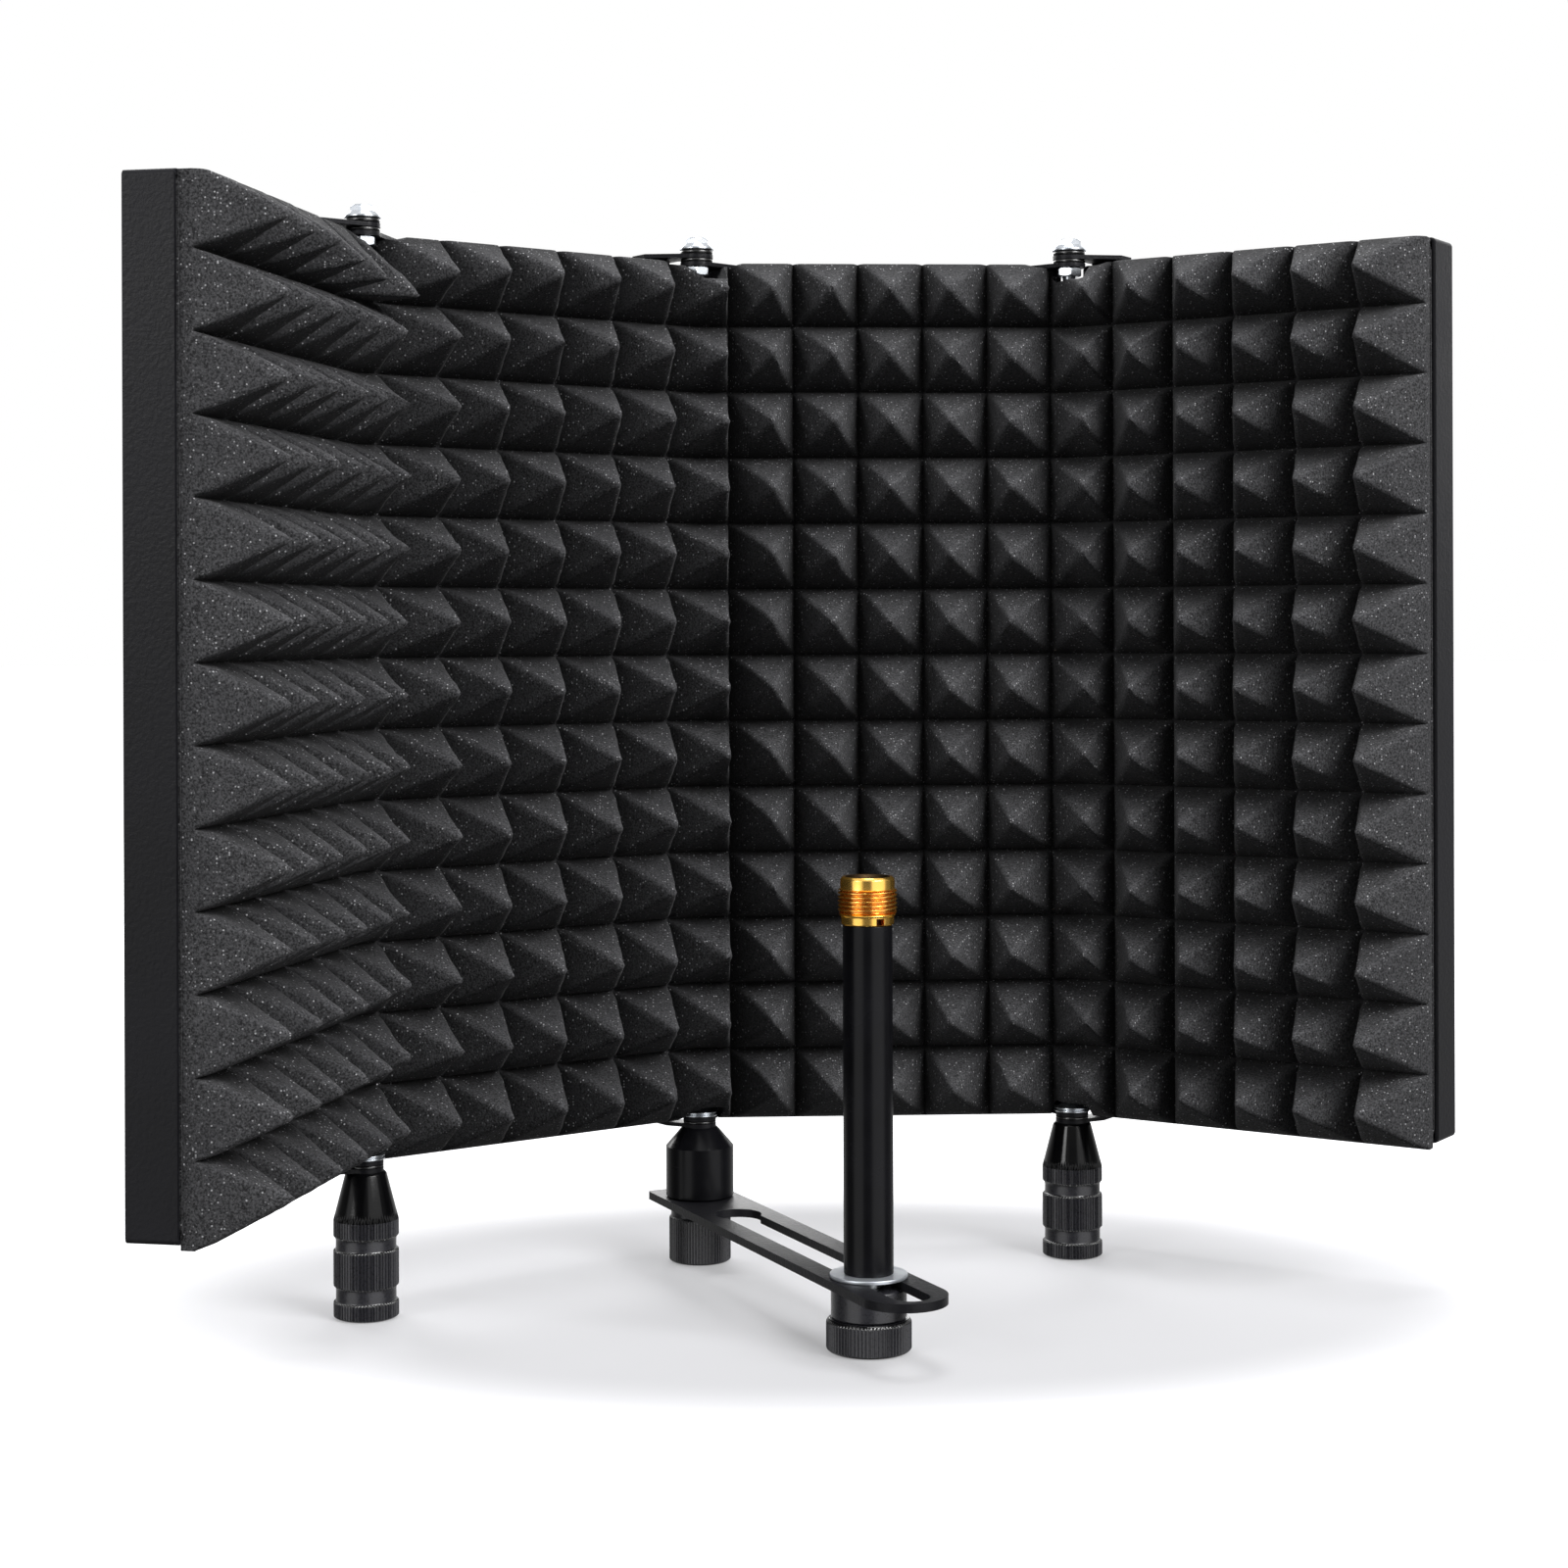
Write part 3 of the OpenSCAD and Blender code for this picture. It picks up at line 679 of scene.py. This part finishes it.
def top_rings(side):
    """The dark rings between the ears and under the bolt."""
    node = f"{side}_top_rings"
    low, top, r = span(node)
    ring(f"{side}_ear_ring", node, low, low + EAR_RING_H, r)
    ring(f"{side}_seat_ring", node, top - SEAT_RING_H, top, r)


BUTTON_H, BUTTON_PROUD = 3.0, 1.0          # the head's height, and how far it is over the solid's


def bottom_bolt(side):
    """A flanged button-head bolt with a hex socket."""
    node = f"{side}_bottom_bolt"
    low, top, rim = span(node)
    top = top + BUTTON_PROUD
    base = top - BUTTON_H
    socket_r, socket_z = 1.25, base + 1.4
    outline = [
        (0, low), (1.6, low), (BOLT_R, low + 0.4), (BOLT_R, base),
        (rim - 0.3, base), (rim, base + 0.3), (rim, base + 0.6), (rim - 0.4, base + 0.8),
        (rim - 0.4, base + 1.0), (rim, base + 1.2), (rim, base + 1.5), (rim - 0.3, base + 1.8),
        (4.1, base + 1.9), (3.9, base + 2.2), (3.3, base + 2.7), (2.2, top),
        (socket_r, top), (socket_r, socket_z), (0, socket_z),
    ]
    bolt = revolve(f"{side}_button_bolt", rounded(outline, 0.25, 3), centre_of(node),
                   HARDWARE_SEGMENTS, [ZINC])
    return take(bolt, body_of(node), "zinc", node)


def bottom_washer(side):
    """The ring between the bottom ears."""
    node = f"{side}_bottom_washer"
    ring(f"{side}_foot_ring", node, *span(node))


for side in ("left", "middle", "right"):
    top_bolt(side)
    top_nut(side)
    top_rings(side)
    bottom_bolt(side)
    bottom_washer(side)


# ---------------------------------------------------------------- foam
PANEL = 115.0                      # mm between hinge axes, along a panel
PITCH = 19.85                      # pyramid pitch along the foam
ROW = 20.185                       # pyramid pitch up the foam
TIP = 21.6                         # height of a pyramid
VALLEY_Y, FOAM_BACK_Y = 1.2, 6.55  # behind the hinge axes: the valleys, and the sheet's back
FOAM_LOW, FOAM_HIGH = 42.9, 305.6
ROW_MIDDLE = 175.45
COLUMNS, ROWS = 11, 6              # pyramids on each side of the middle one
# Mesh places from a pyramid's tip to its valley, closer together at the valley.
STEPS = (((0, 0.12, 0.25, 0.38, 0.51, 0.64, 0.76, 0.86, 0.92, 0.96, 1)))
SPLIT = 2.5 * PITCH                # the sheet is three meshes, which meet in two valleys
CORNER_REACH = 4.0                 # how far from a hinge the foam's base is rounded
# Heights of the edge round the hinges: under the ears, round a nut, and over a button head.
INNER_EAR_Z, NUT_NOTCH_Z, HEAD_NOTCH_Z = 304.4, 299.8, 47.8
EAR_WINDOW, NUT_WINDOW, HEAD_WINDOW = (9.0, 5), (3.6, 3.2), (4.6, 1.8)
TIP_VARIATION, TIP_WANDER = 0.018, 0.02    # of a tip's height, and of its place in its cell
FOLDS = tuple(math.radians(fold) for fold in (42, 36))     # at the left and the right hinge
SLOT_DEPTH, SLOT_START = 1.7, 0.86  # the valleys end in a narrow crease
# Which way the pyramids of each column point, in degrees of heading, from the left end. The
# sheet bends round the hinges, so those near a hinge point away from their own panel's normal.
LEANS = (77, 76, 68, 64, 61, 55, 50, 38.5, 33.5, 32, 31, 29,
         8, 3, -4.5, -10, -15, -9, -22, -33, -38, -43, -47)
# The top row droops by the left hinge: how far each column's tip hangs, in mm, from the left end.
DROOPS = (1.5, 2.5, 3.0, 6.0, 8.5, 10.5, 2.6, 0.8) + (0.5,) * 15
TURNED_COLUMN, TOP_TURN = -6, 18   # the left wing's last top tip is turned further, in degrees
RANDOM = np.random.default_rng(7)


def plan_point(node):
    """A node's middle in plan, in mm."""
    middle = centre_of(node)
    return np.array([middle.x, middle.y]) / MM


LEFT_HINGE = plan_point("left_top_bolt")
# S runs along the foam from left to right, with 0 at the middle hinge.
BENDS = np.array([-PANEL, 0.0, PANEL])
MIDDLE_FOLD = math.atan2(-LEFT_HINGE[1], -LEFT_HINGE[0])
HEADINGS = np.array([MIDDLE_FOLD + FOLDS[0], MIDDLE_FOLD, 0.0, -FOLDS[1]])
FAR = 400.0                        # past both ends of the foam


def heading(s):
    """The direction of the panel at S."""
    return HEADINGS[np.searchsorted(BENDS, s)]


def mean_heading(s, reach):
    """The heading averaged over reach on both sides of each bend."""
    total = np.full(np.shape(s), HEADINGS[0])
    for bend, step in zip(BENDS, np.diff(HEADINGS)):
        total = total + step * np.clip((s - bend + reach) / (2 * reach), 0, 1)
    return total


def axis_line(s):
    """Plan point on the line of hinge axes, sharp at the hinges."""
    x = np.zeros(np.shape(s))
    y = np.zeros(np.shape(s))
    knots = [-FAR, *BENDS, FAR]
    for k, angle in enumerate(HEADINGS):
        lo, hi = knots[k], knots[k + 1]
        run = np.clip(s, lo, hi) - np.clip(0.0, lo, hi)
        x, y = x + run * math.cos(angle), y + run * math.sin(angle)
    return x, y


def base_line(s, behind):
    """Plan point at a depth behind the hinge axes, rounded at the hinges."""
    offsets = np.linspace(-1, 1, 17)
    weights = 1 - np.abs(offsets) + 1e-3
    weights = weights / weights.sum()
    x = sum(w * axis_line(s + o * CORNER_REACH)[0] for o, w in zip(offsets, weights))
    y = sum(w * axis_line(s + o * CORNER_REACH)[1] for o, w in zip(offsets, weights))
    angle = mean_heading(s, CORNER_REACH)
    return x - behind * np.sin(angle), y + behind * np.cos(angle)


def window(distance, flat, fade):
    """1 within flat of zero, falling smoothly to 0 over fade."""
    t = np.clip((flat + fade - np.abs(distance)) / fade, 0, 1)
    return t * t * (3 - 2 * t)


def foam_edge(s, top):
    """Height of the sheet's top or bottom edge, cut back round the hinge hardware."""
    edge = np.full(np.shape(s), FOAM_HIGH if top else FOAM_LOW)
    for bend in BENDS:
        if top:
            edge = edge - (FOAM_HIGH - INNER_EAR_Z) * window(s - bend, *EAR_WINDOW)
            edge = edge - (INNER_EAR_Z - NUT_NOTCH_Z) * window(s - bend, *NUT_WINDOW)
        else:
            edge = edge + (HEAD_NOTCH_Z - FOAM_LOW) * window(s - bend, *HEAD_WINDOW)
    return edge


CELL_COUNTS = (2 * COLUMNS + 1, 2 * ROWS + 1)
TIP_HEIGHTS = 1 + TIP_VARIATION * RANDOM.standard_normal(CELL_COUNTS)
TIP_SHIFTS = TIP_WANDER * RANDOM.standard_normal((2, *CELL_COUNTS))


def pyramid_height(s, z):
    """Height of the foam over its valleys."""
    col = np.clip(np.round(s / PITCH), -COLUMNS, COLUMNS).astype(int)
    # The lowest row runs on down to the sheet's edge.
    low_tip = ROW_MIDDLE - ROWS * ROW
    z = np.where(z < low_tip, low_tip - (low_tip - z) * (ROW / 2) / (low_tip - FOAM_LOW), z)
    row = np.clip(np.round((z - ROW_MIDDLE) / ROW), -ROWS, ROWS).astype(int)
    index = (col + COLUMNS, row + ROWS)
    a = 2 * (s / PITCH - col)
    b = 2 * ((z - ROW_MIDDLE) / ROW - row)
    # The tip moves a little off its middle, and the cell's border stays.
    a = np.abs(a - TIP_SHIFTS[0][index] * (1 - a * a))
    b = np.abs(b - TIP_SHIFTS[1][index] * (1 - b * b))
    ridge, valley, tip = 0.12, 0.02, 0.04
    near = np.clip(ridge - np.abs(a - b), 0, None) / ridge
    far = np.maximum(a, b) + near * near * ridge / 4
    rise = 1 - far
    rise = np.sqrt(np.clip(rise, 0, None) ** 2 + valley ** 2) - valley
    rise = 1 - np.sqrt((1 - rise) ** 2 + tip ** 2)
    slot = np.clip((far - SLOT_START) / (1 - SLOT_START), 0, 1)
    return TIP * np.clip(rise, 0, None) * TIP_HEIGHTS[index] - SLOT_DEPTH * slot ** 1.5


def cell_steps(lo, hi, pitch, middle):
    """Sample places from lo to hi, with one at every tip and valley."""
    cells = np.arange(math.floor((lo - middle) / pitch), math.ceil((hi - middle) / pitch) + 1)
    half = np.array(STEPS) * pitch / 2
    places = np.concatenate([c * pitch + side * half for c in cells for side in (-1, 1)])
    places = middle + np.unique(np.round(places, 6))
    places = places[(places > lo + 0.1) & (places < hi - 0.1)]
    return np.concatenate([[lo], places, [hi]])


HALF_FOAM = (COLUMNS + 0.5) * PITCH
Z_STEPS = cell_steps(FOAM_LOW, FOAM_HIGH, ROW, ROW_MIDDLE)
ALL_S = cell_steps(-HALF_FOAM, HALF_FOAM, PITCH, 0.0)
ROUGHNESS = RANDOM.standard_normal((len(ALL_S), len(Z_STEPS), 3))


EDGE_REACH = 9.0                   # how far in from the top and bottom edge their notches spread
VALLEY_ROUGH, TIP_ROUGH = 0.02, 0.12
OUTER_TONE = 0.6                   # least height value of the strips at both ends, which keeps the painted valley shade off them


def foam_surface():
    """The whole sheet's front on the grid of ALL_S and Z_STEPS: points in metres, and heights."""
    s, z = np.meshgrid(ALL_S, Z_STEPS, indexing="ij")
    top, low = foam_edge(s, True), foam_edge(s, False)
    reach = EDGE_REACH
    z = np.where(z > FOAM_HIGH - reach, FOAM_HIGH - reach + (z - FOAM_HIGH + reach)
                 * (top - FOAM_HIGH + reach) / reach, z)
    z = np.where(z < FOAM_LOW + reach, FOAM_LOW + reach - (FOAM_LOW + reach - z)
                 * (FOAM_LOW + reach - low) / reach, z)
    height = pyramid_height(s, z)
    rough = VALLEY_ROUGH + TIP_ROUGH * np.clip(height / TIP, 0, 1)
    border = np.ones_like(s)
    border[[0, -1]], border[:, [0, -1]] = 0, 0
    for split in (-SPLIT, SPLIT):
        border[np.argmin(np.abs(ALL_S - split))] = 0
    rough = rough * border
    height = height + ROUGHNESS[..., 0] * rough * 0.6
    x, y = base_line(s, VALLEY_Y)
    angle = np.interp(s, np.arange(-COLUMNS, COLUMNS + 1) * PITCH, np.radians(LEANS))
    col = np.clip(np.round(s / PITCH), -COLUMNS, COLUMNS).astype(int)
    top_row = z > ROW_MIDDLE + (ROWS - 0.5) * ROW
    angle = angle + np.where(top_row & (col == TURNED_COLUMN), math.radians(TOP_TURN), 0)
    x, y = x + height * np.sin(angle), y - height * np.cos(angle)
    z = z - np.where(top_row, np.array(DROOPS)[col + COLUMNS] * np.clip(height / TIP, 0, 1), 0)
    x, y, z = (q + ROUGHNESS[..., k] * rough * 0.55 for q, k in ((x, 0), (y, 1), (z, 2)))
    outer = window(np.abs(s) - HALF_FOAM, PITCH / 4, PITCH / 4)
    return np.stack([x, y, z], -1) * MM, np.maximum(np.clip(height / TIP, 0, 1), OUTER_TONE * outer)


FOAM_FRONT, FOAM_HEIGHT = foam_surface()


ON_FRONT = 1e-6                    # in m: a point this close to one of the front's is that point


def foam_mesh(name, verts, faces, front=None, heights=None):
    """A mesh with the foam's finish, and how far each point stands out of the valleys, 0 to 1,
    which sets the finish's painted shade and light.
    """
    obj = mesh_object(name, verts, faces, [FOAM], sharp=55)
    mesh = obj.data
    values = np.full(len(mesh.vertices), FOAM_BODY_HEIGHT, np.float32)
    if front is not None:
        tree = KDTree(front.shape[0] * front.shape[1])
        for k, point in enumerate(front.reshape(-1, 3)):
            tree.insert(point, k)
        tree.balance()
        flat = heights.reshape(-1)
        for k, vertex in enumerate(mesh.vertices):
            _, index, gap = tree.find(vertex.co)
            values[k] = flat[index] if gap < ON_FRONT else FOAM_BODY_HEIGHT
    mesh.attributes.new("height", "FLOAT", "POINT").data.foreach_set("value", values)
    return obj


def foam_sheet(name, lo, hi):
    """The part of the sheet from lo to hi along S, as a closed mesh."""
    i0, i1 = np.argmin(np.abs(ALL_S - lo)), np.argmin(np.abs(ALL_S - hi))
    s = ALL_S[i0:i1 + 1]
    front = FOAM_FRONT[i0:i1 + 1]
    ns, nz = front.shape[:2]
    index = np.arange(ns * nz).reshape(ns, nz)
    verts = [front.reshape(-1, 3)]
    a, b, c, d = index[:-1, :-1], index[1:, :-1], index[1:, 1:], index[:-1, 1:]
    mid_s = (s[:-1] + s[1:]) / 2
    mid_z = (Z_STEPS[:-1] + Z_STEPS[1:]) / 2
    side_s = mid_s / PITCH - np.round(mid_s / PITCH)
    side_z = (mid_z - ROW_MIDDLE) / ROW - np.round((mid_z - ROW_MIDDLE) / ROW)
    along = (side_s[:, None] * side_z[None, :] > 0)[..., None]
    one = np.where(along, np.stack([a, b, c], -1), np.stack([a, b, d], -1))
    two = np.where(along, np.stack([a, c, d], -1), np.stack([b, c, d], -1))
    faces = one.reshape(-1, 3).tolist() + two.reshape(-1, 3).tolist()
    # The back: one point behind each point of the front's border.
    back_x, back_y = base_line(s, FOAM_BACK_Y)
    count = ns * nz

    def behind(i, z):
        nonlocal count
        verts.append(np.array([[back_x[i] * MM, back_y[i] * MM, z]]))
        count += 1
        return count - 1

    low = [behind(i, front[i, 0, 2]) for i in range(ns)]
    top = [behind(i, front[i, -1, 2]) for i in range(ns)]
    left = [low[0]] + [behind(0, front[0, j, 2]) for j in range(1, nz - 1)] + [top[0]]
    right = [low[-1]] + [behind(ns - 1, front[-1, j, 2]) for j in range(1, nz - 1)] + [top[-1]]
    for i in range(ns - 1):
        faces.append([index[i, 0], low[i], low[i + 1], index[i + 1, 0]])
        faces.append([index[i, -1], index[i + 1, -1], top[i + 1], top[i]])
    for j in range(nz - 1):
        faces.append([index[0, j], index[0, j + 1], left[j + 1], left[j]])
        faces.append([index[-1, j], right[j], right[j + 1], index[-1, j + 1]])
    for i in range(1, ns - 2):
        faces.append([low[i], top[i], top[i + 1], low[i + 1]])
    faces.append([*left, top[1], low[1]])
    faces.append([low[-2], top[-2], *reversed(right)])
    return foam_mesh(name, np.concatenate(verts), faces, front, FOAM_HEIGHT[i0:i1 + 1])


SHEETS = (
    ("foam_left_sheet", -HALF_FOAM, -SPLIT, "left_wing_panel", "left_centre_panel", -PANEL,
     ("left_wing_foam", "left_centre_foam")),
    ("foam_middle_sheet", -SPLIT, SPLIT, "left_centre_panel", "right_centre_panel", 0.0,
     ("left_centre_foam", "right_centre_foam")),
    ("foam_right_sheet", SPLIT, HALF_FOAM, "right_centre_panel", "right_wing_panel", PANEL,
     ("right_centre_foam", "right_wing_foam")),
)
for name, lo, hi, first, second, bend, nodes in SHEETS:
    sheet = foam_sheet(name, lo, hi)
    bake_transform(sheet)
    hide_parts(*nodes)


# The foam inside one tray: its depths behind the hinge axes, its heights, and its corners in mm.
BACK_NEAR, BACK_FAR = FOAM_BACK_Y - 0.5, 18.9
BACK_LOW, BACK_HIGH = 45.6, 304.4
BACK_CORNER, BACK_CORNER_STEPS = 2.6, 5
# Depth and inset of each ring of points, from the front to the broken edge at the back.
BACK_RINGS = ((BACK_NEAR, 0.0), (BACK_FAR - 0.8, 0.0), (BACK_FAR - 0.2, 0.25), (BACK_FAR, 0.9))
BACK_SPANS = (("left_wing", -228.6, -117.8), ("left_centre", -112.2, -2.8),
              ("right_centre", 2.8, 112.2), ("right_wing", 117.8, 228.6))


def foam_back(name, s0, s1, body, node):
    """The foam inside one tray, which shows through the vent holes behind."""
    middle, middle_z = (s0 + s1) / 2, (BACK_LOW + BACK_HIGH) / 2
    angle = float(heading(middle))
    x0, y0 = (float(q) for q in axis_line(middle))
    outline = []
    for cs, cz, start in ((s1, BACK_HIGH, 0), (s0, BACK_HIGH, 90), (s0, BACK_LOW, 180),
                          (s1, BACK_LOW, 270)):
        inner = (cs - math.copysign(BACK_CORNER, cs - middle),
                 cz - math.copysign(BACK_CORNER, cz - middle_z))
        for k in range(BACK_CORNER_STEPS):
            t = math.radians(start + 90 / (BACK_CORNER_STEPS - 1) * k)
            outline.append((inner[0] + BACK_CORNER * math.cos(t),
                            inner[1] + BACK_CORNER * math.sin(t)))
    n = len(outline)
    verts = []
    for behind, inset in BACK_RINGS:
        for q, h in outline:
            along = q - math.copysign(inset, q - middle) - middle
            h = h - math.copysign(inset, h - middle_z)
            verts.append((
                (x0 + along * math.cos(angle) - behind * math.sin(angle)) * MM,
                (y0 + along * math.sin(angle) + behind * math.cos(angle)) * MM,
                h * MM,
            ))
    faces = []
    for lap in range(len(BACK_RINGS) - 1):
        for k in range(n):
            m = (k + 1) % n
            faces.append((lap * n + k, lap * n + m, (lap + 1) * n + m, (lap + 1) * n + k))
    faces.append(tuple(range(n)))
    faces.append(tuple(range(len(verts) - n, len(verts))))
    obj = foam_mesh(name, verts, faces)
    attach(obj, body)
    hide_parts(node)
    return obj


for panel, s0, s1 in BACK_SPANS:
    foam_back(f"{panel}_foam_back", s0, s1, f"{panel}_panel", f"{panel}_foam")


# ---------------------------------------------------------------- floor and light
POOL_CENTRE, POOL_SIZE = (0.042, -0.042), (0.212, 0.138)   # of the painted soft shadow on the floor, in m
POOL_FADE = (0.72, 1.2)            # where the painted shadow ends, in shares of its size
FLOOR_NEAR, FLOOR_FAR = 0.30, 1.0  # the floor's own light, in the painted shadow and outside it
FLOOR_HALF, FLOOR_DROP = 14.0, 0.0002


def stage_material():
    """White floor that shines on its own, less so in a painted soft shadow pool under the shield.
    """
    m = Nodes("floor", Roughness=0.9, Specular_IOR_Level=0.1)
    grain = m.noise(6, 3, 0.5)
    base = m.mix(grain, (0.50, 0.50, 0.52, 1), (0.52, 0.52, 0.54, 1))
    place = m.new("ShaderNodeMapping", Vector=m.place,
                  Location=(-POOL_CENTRE[0] / POOL_SIZE[0], -POOL_CENTRE[1] / POOL_SIZE[1], 0),
                  Scale=(1 / POOL_SIZE[0], 1 / POOL_SIZE[1], 1)).outputs[0]
    length = m.tree.nodes.new("ShaderNodeVectorMath")
    length.operation = "LENGTH"
    m.tree.links.new(place, length.inputs[0])
    away = m.new("ShaderNodeMapRange", Value=length.outputs["Value"])
    away.interpolation_type = "SMOOTHSTEP"
    for name, x in zip(RAMP_SOCKETS, (*POOL_FADE, FLOOR_NEAR, FLOOR_FAR)):
        away.inputs[name].default_value = x
    m.shader.inputs["Emission Color"].default_value = (0.99, 0.99, 1, 1)
    return m.set(Base_Color=base, Emission_Strength=away.outputs[0])


floor_mesh = bpy.data.meshes.new("floor")
floor_mesh.from_pydata([(-FLOOR_HALF, -FLOOR_HALF, 0), (FLOOR_HALF, -FLOOR_HALF, 0),
                        (FLOOR_HALF, FLOOR_HALF, 0), (-FLOOR_HALF, FLOOR_HALF, 0)],
                       [], [(0, 1, 2, 3)])
floor_mesh.materials.append(stage_material())
floor = bpy.data.objects.new("floor", floor_mesh)
floor.location.z = -FLOOR_DROP
bpy.context.scene.collection.objects.link(floor)
floor.visible_diffuse = False
floor.visible_glossy = False


WORLD_DARK, WORLD_OVERHEAD, WORLD_BEHIND = 0.14, 1.0, 0.6
WORLD_LEFT, WORLD_RIGHT = 1.3, 1.4      # panels in front, which only reflections see
WORLD_SOFT = 0.2                        # share of the room's light that falls on matt surfaces


def studio_world():
    """White to the camera. For light: bright overhead, less so behind, dark in front and below."""
    world = bpy.data.worlds.new("studio")
    world.use_nodes = True
    tree = world.node_tree

    def new(kind, *inputs, **settings):
        node = tree.nodes.new(kind)
        for name, value in settings.items():
            setattr(node, name, value)
        for i, value in enumerate(inputs):
            if isinstance(value, bpy.types.NodeSocket):
                tree.links.new(value, node.inputs[i])
            elif value is not None:
                node.inputs[i].default_value = value
        return node.outputs

    ray = tree.nodes.new("ShaderNodeLightPath").outputs
    way = new("ShaderNodeSeparateXYZ", tree.nodes.new("ShaderNodeTexCoord").outputs["Generated"])
    overhead = new("ShaderNodeMapRange", way["Z"], 0.25, 0.75, WORLD_DARK, WORLD_OVERHEAD)[0]
    behind = new("ShaderNodeMapRange", way["Y"], 0.2, 0.9, 0.0, WORLD_BEHIND)[0]
    left = new("ShaderNodeMapRange", way["X"], -0.40, -0.50, 0.0, WORLD_LEFT)[0]
    right = new("ShaderNodeMapRange", way["X"], 0.18, 0.30, 0.0, WORLD_RIGHT)[0]
    sides = new("ShaderNodeMath", left, right, operation="MAXIMUM")[0]
    front = new("ShaderNodeMapRange", way["Y"], -0.15, -0.35, 0.0, 1.0)[0]
    panels = new("ShaderNodeMath", sides, front, operation="MULTIPLY")[0]
    room = new("ShaderNodeMath", overhead, behind, operation="MAXIMUM")[0]
    soft = new("ShaderNodeMath", room, WORLD_SOFT, operation="MULTIPLY")[0]
    shine = new("ShaderNodeMath", room, panels, operation="MAXIMUM")[0]
    light = new("ShaderNodeMix", ray["Is Glossy Ray"], None, soft, shine, data_type="FLOAT")[0]
    seen = new("ShaderNodeMix", ray["Is Camera Ray"], None, light, 1.0, data_type="FLOAT")[0]
    background = tree.nodes["Background"]
    background.inputs["Color"].default_value = (1, 1, 1, 1)
    tree.links.new(seen, background.inputs["Strength"])
    return world


bpy.context.scene.world = studio_world()
bpy.context.scene.view_settings.view_transform = "Standard"


AIM = (0.03, -0.03, 0.17)
# Name, place in m, width and height in m, and power in W.
SOFTBOXES = (
    ("key", (1.05, -1.05, 1.15), 0.9, 0.9, 26),
    ("top", (0.12, -0.02, 1.50), 0.6, 0.5, 6),
    ("back_left", (-0.9, 1.25, 0.9), 0.8, 0.8, 12),
    ("back_middle", (0.15, 1.60, 0.70), 0.9, 0.9, 12),
    ("back_right", (1.0, 1.1, 0.7), 0.7, 0.9, 3),
    ("front_fill", (-1.2, -1.2, 0.75), 0.5, 0.5, 7),
)


def softbox(name, place, width, height, power):
    """An area light turned towards AIM."""
    data = bpy.data.lights.new(name, "AREA")
    data.shape = "RECTANGLE"
    data.size, data.size_y, data.energy = width, height, power
    obj = bpy.data.objects.new(name, data)
    obj.location = place
    obj.rotation_euler = (Vector(AIM) - Vector(place)).to_track_quat("-Z", "Y").to_euler()
    bpy.context.scene.collection.objects.link(obj)


for light in SOFTBOXES:
    softbox(*light)
